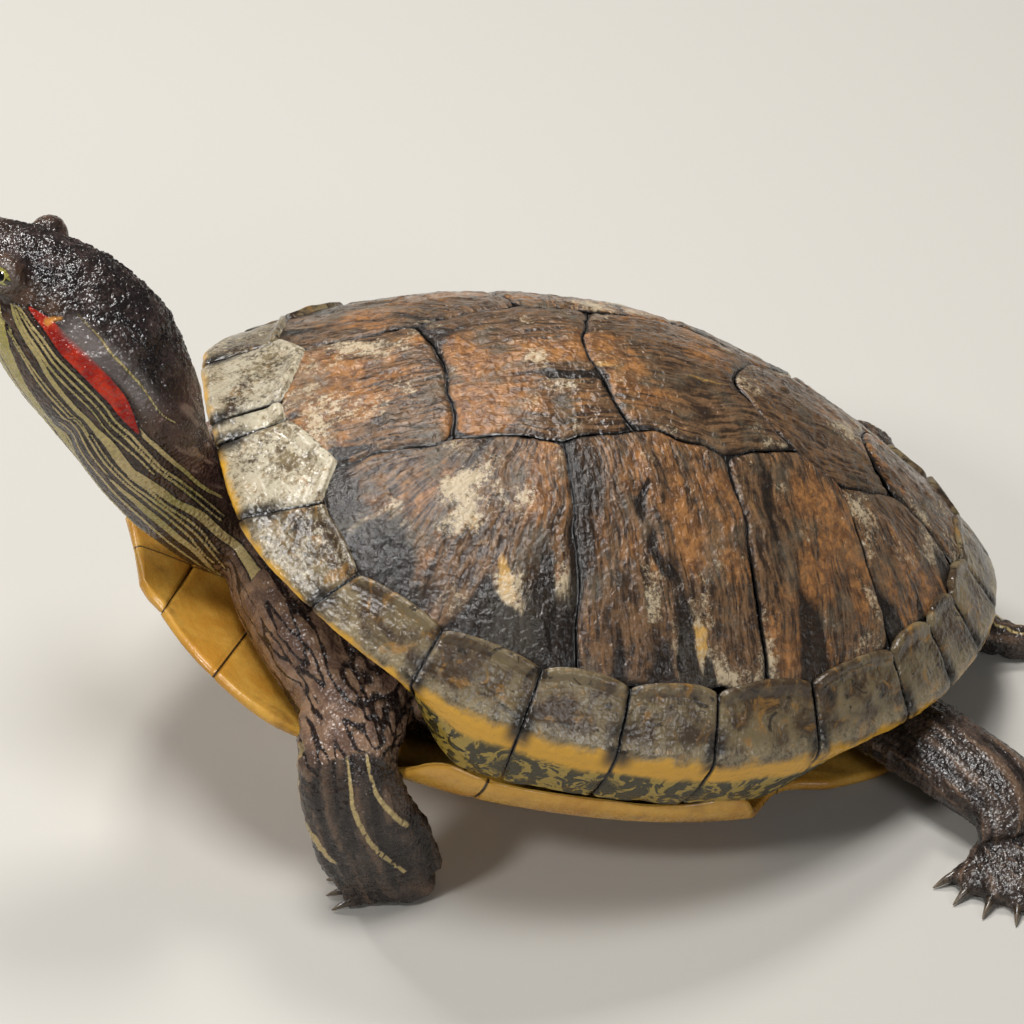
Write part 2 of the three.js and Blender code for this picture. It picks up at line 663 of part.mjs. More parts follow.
// ---------------------------------------------------------------- legs, feet and tail

const at = (x, y, z) => new Vector3(x, y, z);

const LEG_SIDES = 10;
const LEG_STEPS = 6;
const PALM_SIDES = 8;
const TOE_SIDES = 5;
const TAIL_STEPS = 9;
const TOES = 5;
const OUTER_TOE_SHORTER = 0.22; // share by which the outermost toes are shorter than the middle one
const FRONT_FOOT = {
  length: 11,
  width: 10,
  height: 9,
  fan: degToRad(24),
  toeLength: 8,
  toeThick: 2.3,
  claw: 6,
};
const HIND_FOOT = {
  length: 12,
  width: 11.5,
  height: 8.5,
  fan: degToRad(38),
  toeLength: 10,
  toeThick: 2.5,
  claw: 6,
};

/** A toe with its claw, drawn from the foot outward: a rounded toe, then a thin curved point. */
function toe(root, direction, length, thick, claw) {
  const across = new Vector3(-direction.y, direction.x, 0).normalize();
  const along = (distance, height) => root.clone().addScaledVector(direction, distance).setZ(height);
  const stations = [
    { at: along(0, root.z), width: thick * 1.2, height: thick },
    { at: along(length * 0.6, thick * 0.9 + 0.4), width: thick, height: thick * 0.95 },
    { at: along(length, thick * 0.85), width: thick * 0.75, height: thick * 0.75 },
    { at: along(length + claw * 0.4, thick * 0.9), width: thick * 0.45, height: thick * 0.5 },
    { at: along(length + claw, 0.5), width: 0.35, height: 0.4 },
  ];
  return solid(limb(stations, across, TOE_SIDES, stations.length - 1));
}

/** A foot flat on the floor: a low palm, and toes fanned about the way it points. */
function foot(middle, heading, { length, width, height, fan, toeLength, toeThick, claw }) {
  const forward = at(Math.cos(heading), Math.sin(heading), 0);
  const across = at(-forward.y, forward.x, 0);
  const place = (ahead, z) => middle.clone().addScaledVector(forward, ahead).setZ(z);
  const palm = [
    { at: place(-length, height * 0.5), width: width * 0.45, height: height * 0.45 },
    { at: place(-length * 0.55, height * 0.5), width: width * 0.85, height: height * 0.62 },
    { at: place(0, height * 0.46), width, height: height * 0.62 },
    { at: place(length * 0.6, height * 0.36), width, height: height * 0.46 },
    { at: place(length, height * 0.28), width: width * 0.85, height: height * 0.3 },
  ];
  let shape = solid(limb(palm, across, PALM_SIDES, palm.length - 1));
  for (let i = 0; i < TOES; i++) {
    const share = (2 * i) / (TOES - 1) - 1;
    const direction = forward.clone().applyAxisAngle(at(0, 0, 1), fan * share);
    const root = place(length * 0.25, height * 0.35).addScaledVector(across, width * 0.62 * share);
    const reach = toeLength * (1 - OUTER_TOE_SHORTER * share * share);
    shape = shape.add(toe(root, direction, reach, toeThick, claw));
  }
  return shape;
}

/** A leg and its foot, parted by a thin cut square to the given direction. */
function legAndFoot(stations, across, cut, footShape, others) {
  const normal = cut.normal.clone().normalize();
  const offset = normal.dot(cut.at);
  const whole = solid(limb(stations, across, LEG_SIDES, LEG_STEPS));
  const flip = normal.clone().negate();
  const above = whole.trimByPlane(normal.toArray(), offset + GAP / 2);
  const upper = others.reduce((piece, other) => piece.subtract(other), above);
  const lower = whole.add(footShape).trimByPlane(flip.toArray(), -offset + GAP / 2);
  return { leg: geometryOf(upper), foot: geometryOf(onFloor(lower)) };
}

function frontLeg(side, ahead, clearances) {
  const p = (x, y, z) => at(side * x, y - ahead, z);
  const stations = [
    { at: p(38, -63, 62), width: 14, height: 11 },
    { at: p(53, -71, 58), width: 14, height: 10 },
    { at: p(68, -77.5, 47), width: 12.5, height: 8.5 },
    { at: p(72, -76, 34), width: 13.5, height: 7.5 },
    { at: p(71, -72, 20), width: 15, height: 7 },
    { at: p(68, -67.5, 6), width: 14, height: 6 },
  ];
  const footShape = foot(p(65, -67, 0), Math.atan2(-1, side * -0.3), FRONT_FOOT);
  const cut = { at: p(69, -72, 9), normal: at(0, 0, 1) };
  return legAndFoot(stations, at(0, 1, 0), cut, footShape, clearances);
}

function hindLeg(side, turn, clearances) {
  const p = (x, y, z) => at(side * x, y, z);
  const stations = [
    { at: p(30, 59, 17), width: 14, height: 10 },
    { at: p(46, 70.5, 15.5), width: 13.5, height: 9.5 },
    { at: p(62, 82, 14), width: 13.2, height: 9 },
    { at: p(77, 91, 11.5), width: 12.5, height: 8 },
    { at: p(88, 91, 7), width: 11, height: 6 },
  ];
  const footShape = foot(p(92, 88, 0), Math.atan2(-Math.sin(turn), side * Math.cos(turn)), HIND_FOOT);
  const cut = { at: p(83, 92.5, 10), normal: at(-side * 0.75, 0.2, 0.5) };
  return legAndFoot(stations, at(-0.5 * side, 0.8, 0), cut, footShape, clearances);
}

function tail(trunkClear) {
  const stations = [
    { at: at(0, 74, 15), width: 8, height: 7.5 },
    { at: at(0.5, 90, 12.5), width: 7.5, height: 7 },
    { at: at(3, 104, 7.5), width: 6, height: 5.8 },
    { at: at(7, 117, 3.8), width: 4.2, height: 4.2 },
    { at: at(12, 129, 1.9), width: 2.6, height: 2.4 },
    { at: at(17, 137, 0.9), width: 1, height: 1.1 },
  ];
  const whole = solid(limb(stations, at(1, 0, 0), LEG_SIDES, TAIL_STEPS));
  return geometryOf(onFloor(whole.subtract(trunkClear)));
}

// ---------------------------------------------------------------- assembly

const group = new THREE.Group();

function add(name, geometry, color, roughness) {
  const material = new THREE.MeshStandardMaterial({ color, roughness, metalness: 0 });
  const mesh = new THREE.Mesh(geometry, material);
  mesh.name = name;
  group.add(mesh);
}

const BROWN_PLATE = 0x5a3a22;
const OLIVE_PLATE = 0x6b5f3c;
const YELLOW_PLATE = 0xd39a2a;
const DARK_SKIN = 0x352c26;
const EYE_COLOR = 0x8a7a35;

vertebralPlates().forEach((geometry, i) => add(`vertebral_${i + 1}`, geometry, BROWN_PLATE, 0.35));

for (const [word, side] of [["left", 1], ["right", -1]]) {
  costalPlates(side).forEach((geometry, i) => add(`costal_${word}_${i + 1}`, geometry, BROWN_PLATE, 0.35));
  for (let i = 1; i < RIM_SEAMS.length; i++) {
    const slants = [SEAM_SLANTS[i - 1], SEAM_SLANTS[i]];
    const geometry = rimPlate(side, RIM_SEAMS[i - 1], RIM_SEAMS[i], ...slants, RIM_STEPS);
    add(`marginal_${word}_${i}`, geometry, OLIVE_PLATE, 0.3);
  }
}
const nuchal = () => rimPlate(1, -RIM_SEAMS[0], RIM_SEAMS[0], 0, 0, 1);
add("nuchal", nuchal(), OLIVE_PLATE, 0.3);

for (const row of BELLY_PLATES) {
  add(`plastron_${row[0]}`, geometryOf(onFloor(solid(bellyPlate(row)))), YELLOW_PLATE, 0.35);
}

const trunkClear = solid(trunk(GAP));
const bellyClear = withRoom(solid(bellyPlate(BELLY_PLATES[2])));
add("trunk", trunk(0), DARK_SKIN, 0.6);

const firstRimPlate = rimPlate(1, RIM_SEAMS[0], RIM_SEAMS[1], SEAM_SLANTS[0], SEAM_SLANTS[1], RIM_STEPS);
const rimClear = withRoom(solid(nuchal())).add(withRoom(solid(firstRimPlate)));
const neck = solid(loft(neckRings())).subtract(trunkClear).subtract(rimClear);
add("neck", geometryOf(neck), DARK_SKIN, 0.6);

const wholeHead = solid(loft(HEAD_STATIONS.map(headRing)));
const sockets = [1, -1].map((side) => solid(eye(side, GAP)));
const skull = wholeHead.subtract(solid(jawRegion(GAP)));
const upperHead = sockets.reduce((head, socket) => head.subtract(socket), skull);
add("head", geometryOf(upperHead), DARK_SKIN, 0.4);
add("lower_jaw", geometryOf(wholeHead.intersect(solid(jawRegion(0)))), DARK_SKIN, 0.5);
add("eye_left", eye(1, 0), EYE_COLOR, 0.05);
add("eye_right", eye(-1, 0), EYE_COLOR, 0.05);

const limbs = [
  ["front_left", frontLeg(1, 0, [trunkClear, bellyClear])],
  ["front_right", frontLeg(-1, 5, [trunkClear, bellyClear])],
  ["hind_left", hindLeg(1, degToRad(38), [trunkClear])],
  ["hind_right", hindLeg(-1, degToRad(28), [trunkClear])],
];
for (const [word, { leg, foot: footGeometry }] of limbs) {
  add(`leg_${word}`, leg, DARK_SKIN, 0.6);
  add(`foot_${word}`, footGeometry, DARK_SKIN, 0.6);
}
add("tail", tail(trunkClear), DARK_SKIN, 0.6);

// The animal stands over the middle of its own footprint.
const footprint = new THREE.Box3().setFromObject(group).getCenter(new Vector3());
group.position.set(-footprint.x, -footprint.y, 0);

export default group;
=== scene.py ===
# %% [markdown]
# # A red-eared slider turtle: shell, skin and eyes
#
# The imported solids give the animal's shape at its true size. Here each of them gets its living surface:
# horn plates with growth rings, worn patches and dark bars; one skin of folds and fine scales over the
# head, neck, legs and tail; lidded eyes; and claws. Every surface is worked out with numpy from the same
# few dimensions that the solids were made from, in millimetres, and put into Blender in metres.

# %% The frame
import math
import time

import bmesh
import bpy
import numpy as np
from mathutils import Matrix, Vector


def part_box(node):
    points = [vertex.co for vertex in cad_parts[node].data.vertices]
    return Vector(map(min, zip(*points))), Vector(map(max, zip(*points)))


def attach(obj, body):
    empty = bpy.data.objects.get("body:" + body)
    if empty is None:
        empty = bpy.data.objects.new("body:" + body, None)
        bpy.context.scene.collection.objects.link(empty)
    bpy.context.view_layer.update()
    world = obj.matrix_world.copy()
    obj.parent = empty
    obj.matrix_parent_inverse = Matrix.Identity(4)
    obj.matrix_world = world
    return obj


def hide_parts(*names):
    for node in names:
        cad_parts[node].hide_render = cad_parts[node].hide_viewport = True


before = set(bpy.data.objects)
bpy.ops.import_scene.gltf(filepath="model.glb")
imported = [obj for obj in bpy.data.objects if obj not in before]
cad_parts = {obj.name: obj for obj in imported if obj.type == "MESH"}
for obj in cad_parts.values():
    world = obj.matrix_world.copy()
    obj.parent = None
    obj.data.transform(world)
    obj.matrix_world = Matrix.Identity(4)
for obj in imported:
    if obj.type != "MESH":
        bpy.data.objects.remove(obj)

started = time.time()
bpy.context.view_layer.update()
MM = 0.001

# %% [markdown]
# ## Where things are
#
# The shell is laid out level in a body frame: x forward, y to the animal's left, z up from the widest part
# of the rim. Tilting it nose-up and lifting it over the floor gives the pose. The solids were then centred
# over their own footprint, so the last step is a small shift, read off from where the left eye is.

# %% Body frame and head frame
SHELL_PITCH = math.radians(17.23)
SHELL_LIFT = 49.05
HEAD_YAW = math.radians(31)
HEAD_PITCH = math.radians(15.6)
HEAD_ROLL = math.radians(3)
EYES_AT = np.array([164, -14, 54.5])
EYE_APART = 11.2
EYE_UP = 0.4


def turned(points):
    """Body frame to standing frame: nose-up by the pitch, then x to -y and y to x."""
    points = np.asarray(points, float)
    x, y, z = points[..., 0], points[..., 1], points[..., 2]
    forward = x * math.cos(SHELL_PITCH) - z * math.sin(SHELL_PITCH)
    up = x * math.sin(SHELL_PITCH) + z * math.cos(SHELL_PITCH)
    return np.stack([y, -forward, up], -1)


def stand(points):
    """Body frame to standing frame, lifted over the floor, in millimetres."""
    return turned(points) + [0, 0, SHELL_LIFT]


def unit(vectors):
    """Vectors divided by their own length."""
    return vectors / np.maximum(np.linalg.norm(vectors, axis=-1, keepdims=True), 1e-9)


def spun(vector, axis, angle):
    """A vector turned about an axis (Rodrigues' formula)."""
    return (vector * math.cos(angle) + np.cross(axis, vector) * math.sin(angle)
            + axis * np.dot(axis, vector) * (1 - math.cos(angle)))


head_forward = unit(turned([math.cos(HEAD_YAW) * math.cos(HEAD_PITCH),
                            -math.sin(HEAD_YAW) * math.cos(HEAD_PITCH), math.sin(HEAD_PITCH)]))
head_left = spun(unit(turned([math.sin(HEAD_YAW), math.cos(HEAD_YAW), 0])), head_forward, -HEAD_ROLL)
head_up = unit(np.cross(head_forward, head_left))
eyes_middle = stand(EYES_AT)


def head_point(ahead, left, up):
    """A standing-frame point from how far it is ahead of the eyes, to the left and up."""
    ahead, left, up = np.broadcast_arrays(ahead, left, up)
    return eyes_middle + (ahead[..., None] * head_forward + left[..., None] * head_left
                          + up[..., None] * head_up)


eye_low, eye_high = (np.array(corner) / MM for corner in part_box("eye_left"))
SHIFT = (eye_low + eye_high) / 2 - head_point(0, EYE_APART, EYE_UP)
print("shift over the footprint, mm:", np.round(SHIFT, 3))

# %% [markdown]
# ## Camera, floor and light
#
# A long lens keeps the shell from looking swollen. The floor is plain and pale. A wet shell is read by its
# reflections, so besides a soft light overhead there are smaller, brighter ones in the directions that the
# shell mirrors, and they draw the thin white glints along the plate edges.

# %% Camera, floor and lights
SENSOR = 36.0
LENS = 152.9
CAMERA_RIGHT = np.array([0.19547, 0.98071, 0])
CAMERA_UP = np.array([-0.59329, 0.11825, 0.79626])
CAMERA_BACK = np.array([0.78090, -0.15564, 0.60496])
CAMERA_AT = np.array([875.7, -187.5, 742.8])
FLOOR_HALF = 4.0
FLOOR_COLOR, FLOOR_ROUGHNESS = (0.50, 0.48, 0.44), 0.8
LIGHT_TARGET = (0, 0, 0.07)
LIGHTS = {  # where it hangs, its width in metres, its power in watts and its colour
    "overhead_soft": ((0.10, -0.15, 1.35), 0.40, 11, (1, 1, 1)),
    "front_glint": ((0.45, -0.80, 0.90), 0.16, 5, (1, 1, 1)),
    "far_glint": ((-0.75, -0.62, 0.80), 0.16, 5, (1, 1, 1)),
    "behind_bright": ((-0.60, 0.05, 1.20), 0.25, 8, (1, 0.98, 0.94)),
    "camera_side_fill": ((1.3, 0.5, 0.7), 0.3, 4, (0.98, 0.99, 1)),
}
WORLD_COLOR, WORLD_STRENGTH = (0.84, 0.84, 0.82, 1), 0.09
scene = bpy.context.scene


def placed(name, data, columns=None):
    """An object in the scene, set by four columns where given: its right, its up, its back and its place."""
    thing = bpy.data.objects.new(name, data)
    scene.collection.objects.link(thing)
    if columns is not None:
        pose = np.eye(4)
        pose[:3] = np.stack(columns, 1)
        thing.matrix_world = Matrix(pose.tolist())
    return thing


camera_data = bpy.data.cameras.new("camera")
camera_data.sensor_width, camera_data.lens = SENSOR, LENS
scene.camera = placed("camera", camera_data, (CAMERA_RIGHT, CAMERA_UP, CAMERA_BACK, CAMERA_AT * MM))

floor_mesh = bpy.data.meshes.new("floor")
floor_mesh.from_pydata([(x * FLOOR_HALF, y * FLOOR_HALF, 0) for x, y in ((-1, -1), (1, -1), (1, 1), (-1, 1))],
                       [], [(0, 1, 2, 3)])
floor_finish = bpy.data.materials.new("pale_floor")
floor_finish.use_nodes = True
floor_shader = floor_finish.node_tree.nodes["Principled BSDF"]
floor_shader.inputs["Base Color"].default_value = (*FLOOR_COLOR, 1)
floor_shader.inputs["Roughness"].default_value = FLOOR_ROUGHNESS
floor_mesh.materials.append(floor_finish)
floor = placed("floor", floor_mesh)

for name, (at, size, power, color) in LIGHTS.items():
    light = bpy.data.lights.new(name, "AREA")
    light.shape, light.size, light.energy, light.color = "SQUARE", size, power, color
    back = unit(np.array(at) - LIGHT_TARGET)
    right = unit(np.cross([0, 0, 1], back))
    placed(name, light, (right, np.cross(back, right), back, at))

world = bpy.data.worlds.new("studio")
world.use_nodes = True
world.node_tree.nodes["Background"].inputs["Color"].default_value = WORLD_COLOR
world.node_tree.nodes["Background"].inputs["Strength"].default_value = WORLD_STRENGTH
scene.world = world
scene.view_settings.view_transform = "Standard"
print("camera, floor and", len(LIGHTS), "lights")

# %% [markdown]
# ## Tools shared by every piece
#
# Relief on horn and skin is never regular, so most of it comes from value noise: random numbers on a
# lattice, blended smoothly in between, added up at two or three sizes. Scales come from cell noise, where
# each point belongs to its nearest seed. Both are seeded, so the same turtle comes out every time.

# %% Noise
LATTICE = (73856093, 19349663, 83492791, 2654435761)


def scatter(i, j, k, seed):
    """A repeatable random number from 0 to 1 for each lattice point."""
    n = (i * LATTICE[0]) ^ (j * LATTICE[1]) ^ (k * LATTICE[2]) ^ (seed * LATTICE[3])
    n = ((n ^ (n >> 13)) * 1274126177) & 0xFFFFFFFF
    n = ((n ^ (n >> 15)) * 2246822519) & 0xFFFFFFFF
    return ((n ^ (n >> 16)) & 0xFFFFFF) / 0xFFFFFF


def noise(points, size, seed=0):
    """Smooth random values from -1 to 1 whose bumps are about `size` across."""
    p = np.asarray(points, float) / size
    if p.shape[-1] == 2:
        p = np.concatenate([p, np.zeros(p.shape[:-1] + (1,))], -1)
    cell = np.floor(p).astype(np.int64)
    f = p - cell
    f = f * f * (3 - 2 * f)
    total = 0
    for a, b, c in np.ndindex(2, 2, 2):
        weight = ((f[..., 0] if a else 1 - f[..., 0]) * (f[..., 1] if b else 1 - f[..., 1])
                  * (f[..., 2] if c else 1 - f[..., 2]))
        total = total + weight * scatter(cell[..., 0] + a, cell[..., 1] + b, cell[..., 2] + c, seed)
    return 2 * total - 1


def rough(points, size, seed=0, octaves=3):
    """Noise at several sizes, each half as wide and half as strong as the one before."""
    total, strength = 0, 0
    for octave in range(octaves):
        total = total + noise(points, size / 2 ** octave, seed + 17 * octave) / 2 ** octave
        strength += 1 / 2 ** octave
    return total / strength * 1.5


def cells(points, size, seed=0):
    """Distance to the nearest and second nearest seed of a jittered lattice, and the nearest one's number."""
    p = np.asarray(points, float) / size
    base = np.floor(p).astype(np.int64)
    first = np.full(p.shape[:-1], 9.0)
    second = np.full(p.shape[:-1], 9.0)
    label = np.zeros(p.shape[:-1])
    for step in np.ndindex(3, 3, 3):
        at = base + step - 1
        spot = [scatter(at[..., 0], at[..., 1], at[..., 2], seed + n) for n in (1, 2, 3)]
        away = np.linalg.norm(p - at - (0.15 + 0.7 * np.stack(spot, -1)), axis=-1)
        nearer = away < first
        second = np.where(nearer, first, np.minimum(second, away))
        label = np.where(nearer, scatter(at[..., 0], at[..., 1], at[..., 2], seed + 4), label)
        first = np.where(nearer, away, first)
    return first * size, second * size, label


def ease(value, low, high):
    """0 below low, 1 above high and a smooth rise between."""
    k = np.clip((value - low) / (high - low), 0, 1)
    return k * k * (3 - 2 * k)


def mix(a, b, k):
    """The value a share k of the way from a to b."""
    return a + (b - a) * k


# %% Putting a surface into a mesh
def keep_fields(mesh, fields):
    """Keeps one number per point for each named field, for the materials to read."""
    for field, values in fields.items():
        layer = mesh.attributes.new(field, "FLOAT", "POINT")
        layer.data.foreach_set("value", np.asarray(values, np.float32).ravel())


def make_piece(name, points, faces, fields, uv=None):
    """A mesh object from points in standing-frame millimetres and arrays of faces, turned to face outward."""
    points = (np.asarray(points) + SHIFT) * MM
    fans = [np.stack([f[:, 0], f[:, i], f[:, i + 1]], 1) for f in faces for i in range(1, f.shape[1] - 1)]
    tri = points[np.concatenate(fans)]
    if (tri[:, 0] * np.cross(tri[:, 1], tri[:, 2])).sum() < 0:
        faces = [f[:, ::-1] for f in faces]
    corners = np.concatenate([f.ravel() for f in faces]).astype(np.int32)
    counts = np.concatenate([np.full(len(f), f.shape[1]) for f in faces])
    mesh = bpy.data.meshes.new(name)
    mesh.vertices.add(len(points))
    mesh.vertices.foreach_set("co", points.astype(np.float32).ravel())
    mesh.loops.add(len(corners))
    mesh.loops.foreach_set("vertex_index", corners)
    mesh.polygons.add(len(counts))
    mesh.polygons.foreach_set("loop_start", np.concatenate([[0], np.cumsum(counts)[:-1]]).astype(np.int32))
    mesh.update(calc_edges=True)
    mesh.polygons.foreach_set("use_smooth", np.ones(len(counts), bool))
    keep_fields(mesh, fields)
    if uv is not None:
        mesh.uv_layers.new(name="lie").data.foreach_set("uv", uv.astype(np.float32)[corners].ravel())
    return placed(name, mesh)


def grid_faces(rows, columns, first=0):
    """Corner numbers of the squares of a grid of points numbered row by row."""
    i, j = np.meshgrid(np.arange(rows - 1), np.arange(columns - 1), indexing="ij")
    a = first + (i * columns + j).ravel()
    return np.stack([a, a + columns, a + columns + 1, a + 1], 1)


def grid_rim(rows, columns):
    """Point numbers round the edge of a grid, once round."""
    return np.concatenate([np.arange(columns), np.arange(1, rows) * columns + columns - 1,
                           (rows - 1) * columns + np.arange(columns - 2, -1, -1),
                           np.arange(rows - 2, 0, -1) * columns])


def bridge_faces(ring_a, ring_b):
    """Squares between two closed rings of point numbers."""
    return np.stack([ring_a, np.roll(ring_a, -1), np.roll(ring_b, -1), ring_b], 1)


def surface_normals(grid, way):
    """Unit normals of a grid of points, from the slopes of its rows and columns, on the side of `way`."""
    normals = unit(np.cross(np.gradient(grid, axis=0), np.gradient(grid, axis=1)))
    return normals if (normals * way).sum() > 0 else -normals


def smooth_line(rows, count):
    """A Catmull-Rom curve through rows of numbers: each stretch bends towards its neighbours."""
    rows = np.array(rows, float)
    k = np.linspace(0, len(rows) - 1, count)
    i = np.minimum(k.astype(int), len(rows) - 2)
    f = (k - i)[:, None]
    padded = np.vstack([2 * rows[0] - rows[1], rows, 2 * rows[-1] - rows[-2]])
    a, b, c, d = (padded[i + n] for n in range(4))
    return 0.5 * (2 * b + (c - a) * f + (2 * a - 5 * b + 4 * c - d) * f ** 2
                  + (3 * b - a - 3 * c + d) * f ** 3)


print("tools ready after", round(time.time() - started, 1), "s")

# %% [markdown]
# ## The shell's own surface
#
# A slider's carapace is a low dome on an egg-shaped outline, broadest just behind the middle. The outline
# is two half super-ellipses, one for the front and one for the rear, and the dome's height falls from the
# top to the rim by one formula of how far out a point lies. Every horn plate is a patch of that surface.

# %% Shell formulas
HALF_LENGTH = 110
HALF_WIDTH = 91
DOME_TOP = 60.35
WIDEST_X = 4.86
RIM_RISE_FRONT = 18
RIM_RISE_REAR = 10.5
RIM_RISE_POWER = 2.5
PLAN_POWERS = (2.342, 1.796)
DOME_POWER = 1.846
DOME_EDGE_POWER = 0.763
PLATE_THICKNESS = 3


def half_outline(ahead):
    """The outline's power and half length: the front half's where ahead is true, and the rear half's."""
    return (np.where(ahead, *PLAN_POWERS),
            np.where(ahead, HALF_LENGTH - WIDEST_X, HALF_LENGTH + WIDEST_X))


def plan_point(reach, angle):
    """Outline formula: angle 0 is the neck, pi the tail, and reach 1 the rim."""
    c, s = np.cos(angle), np.sin(angle)
    power, length = half_outline(c > 0)
    x = WIDEST_X + np.sign(c) * length * reach * np.abs(c) ** (2 / power)
    y = HALF_WIDTH * reach * np.sign(s) * np.abs(s) ** (2 / power)
    return np.stack([x, y], -1)


def rim_half_width(x):
    """Half the outline's width at a place along the body."""
    power, length = half_outline(x > WIDEST_X)
    along = np.minimum(1, np.abs(x - WIDEST_X) / length)
    return HALF_WIDTH * (1 - along ** power) ** (1 / power)


def rim_height(x):
    """The rim sweeps up to the neck and, less, to the tail."""
    rise = np.where(x > 0, RIM_RISE_FRONT, RIM_RISE_REAR)
    return rise * np.abs(x / HALF_LENGTH) ** RIM_RISE_POWER


def dome_height(x, y):
    """Full height in the middle, the rim's height at the rim, by how far out the point is."""
    power, length = half_outline(x > WIDEST_X)
    along = (np.abs(x - WIDEST_X) / length) ** power
    reach = np.minimum(1, (along + (np.abs(y) / HALF_WIDTH) ** power) ** (1 / power))
    rim = rim_height(x)
    return rim + (DOME_TOP - rim) * (1 - reach ** DOME_POWER) ** DOME_EDGE_POWER


def under(height, plan, depth):
    """Points some depth below a height field, measured square to it."""
    x, y = plan[..., 0], plan[..., 1]
    step = 0.5
    slope_x = (height(x + step, y) - height(x - step, y)) / (2 * step)
    slope_y = (height(x, y + step) - height(x, y - step)) / (2 * step)
    length = np.sqrt(slope_x ** 2 + slope_y ** 2 + 1)
    return np.stack([x + slope_x / length * depth, y + slope_y / length * depth,
                     height(x, y) - depth / length], -1)


# %% Seams between the plates
RING_REACH = np.array([(0, 0.855), (0.28, 0.82), (0.46, 0.885), (0.68, 0.91), (1.5, 0.9), (2.1, 0.89),
                       (2.8, 0.872), (math.pi, 0.86)])
RIM_SEAMS = (0.03, 0.302, 0.643, 0.985, 1.279, 1.499, 1.733, 2.022, 2.315, 2.5, 2.67, 2.87, math.pi)
SEAM_SLANTS = (0, 0.1, 0.035) + (0,) * 10
FIRST_CORNER, LAST_CORNER = 0.279, 2.793
COSTAL_ANGLES = (FIRST_CORNER, 1.369, 1.88, 2.312, LAST_CORNER)


def ring_reach(angle):
    """How far out the seam between the rim plates and the dome plates runs."""
    return np.interp(np.abs(angle), RING_REACH[:, 0], RING_REACH[:, 1])


def ring_point(angle):
    return plan_point(ring_reach(angle), angle)


def ring_arc(start, end):
    """The ring seam between two angles, as a curve of k from 0 to 1."""
    return lambda k: ring_point(mix(start, end, k))


def polyline(*corners):
    """Straight stretches through corners, each an equal share of k from 0 to 1."""
    corners = np.array(corners, float)
    places = np.linspace(0, 1, len(corners))
    return lambda k: np.stack([np.interp(k, places, corners[:, n]) for n in range(corners.shape[1])], -1)


def mirrored(curve):
    return lambda k: curve(k) * [1, -1]


def across_seam(corner, bow):
    """A seam across the back from a left corner to its mirror image, bowed forward in the middle."""
    return lambda k: np.stack([corner[0] + bow * (1 - (1 - 2 * k) ** 2), corner[1] * (1 - 2 * k)], -1)


V1_FRONT, V5_REAR = ring_point(FIRST_CORNER), ring_point(LAST_CORNER)
V1_V2, C1_C2, V2_V3, C2_C3 = (59.25, 24.6), (32.5, 29.75), (14, 26), (-11, 29)
V3_V4, C3_C4, V4_V5, V5_SIDE = (-33.5, 18.75), (-46, 23.5), (-68, 15), (-78, 17.5)
MIDDLE_SEAMS = [across_seam(V1_V2, -2.2), across_seam(V2_V3, 7.3), across_seam(V3_V4, 13.5),
                across_seam(V4_V5, 6)]


def coons(front, rear, left, right):
    """A patch from its four edge curves: the two ruled surfaces added, less the corners' own."""
    def patch(s, t):
        corners = [curve(np.float64(k)) for curve in (front, rear) for k in (0, 1)]
        ruled = (mix(front(t), rear(t), s[..., None]) + mix(left(s), right(s), t[..., None]))
        flat = mix(mix(corners[0], corners[1], t[..., None]), mix(corners[2], corners[3], t[..., None]),
                   s[..., None])
        return ruled - flat
    return patch


def seam_waver(plan):
    """Moves plan points by up to a millimetre, so that no seam is dead straight; nothing moves at the rim."""
    reach = np.abs(plan[..., 1]) / np.maximum(rim_half_width(plan[..., 0]), 1)
    hold = 1 - ease(reach, 0.90, 1.0)
    shift = np.stack([rough(plan, 9, 401, 2), rough(plan, 9, 402, 2)], -1)
    return plan + 0.9 * shift * hold[..., None]


# %% [markdown]
# ## One horn plate
#
# Each scute is a thin plate of horn that has grown a ring at its edge every season, round a small first
# plate that sits high and to the rear. So its relief is a function of how far a point is from that first
# plate towards the edge: fine rings that fade inwards, a rolled-down edge where two plates meet, and a
# slow swell. Old horn flakes off in thin patches; the same noise that lifts a patch also colours it.

# %% Plate relief
DETAIL = 0.55
SEAM_DEPTH = 0.9
SEAM_HALF_WIDTH = 0.75
RING_SPACING = 1.7
SEAM_GAP = 0.12
PLATE_SINK = 0.35  # the mean surface lies this far inside the solid's, so that no relief stands out of it
INNER_RINGS = (1, 0.95, 0.6, 0.25)  # the inner face is drawn together to its middle in these steps
FAR_FROM_SEAM = 5


def grid_coordinates(rows, columns):
    s, t = np.meshgrid(np.linspace(0, 1, rows), np.linspace(0, 1, columns), indexing="ij")
    return s, t


def edge_distance(s, t, tall, wide, corner=1.5):
    """Distance to the nearest edge of a plate, rounded off at the corners."""
    sides = np.stack([s * tall, (1 - s) * tall, t * wide, (1 - t) * wide])
    return -corner * np.log(np.exp(-np.minimum(sides, 60) / corner).sum(0))


def ring_share(s, t, first_plate):
    """0 at the first small plate, 1 at the plate's edge, by the longest share along or across."""
    a, b = first_plate
    along = np.where(s < a, (a - s) / a, (s - a) / (1 - a))
    across = np.where(t < b, (b - t) / b, (t - b) / (1 - b))
    return (along ** 4 + across ** 4) ** 0.25


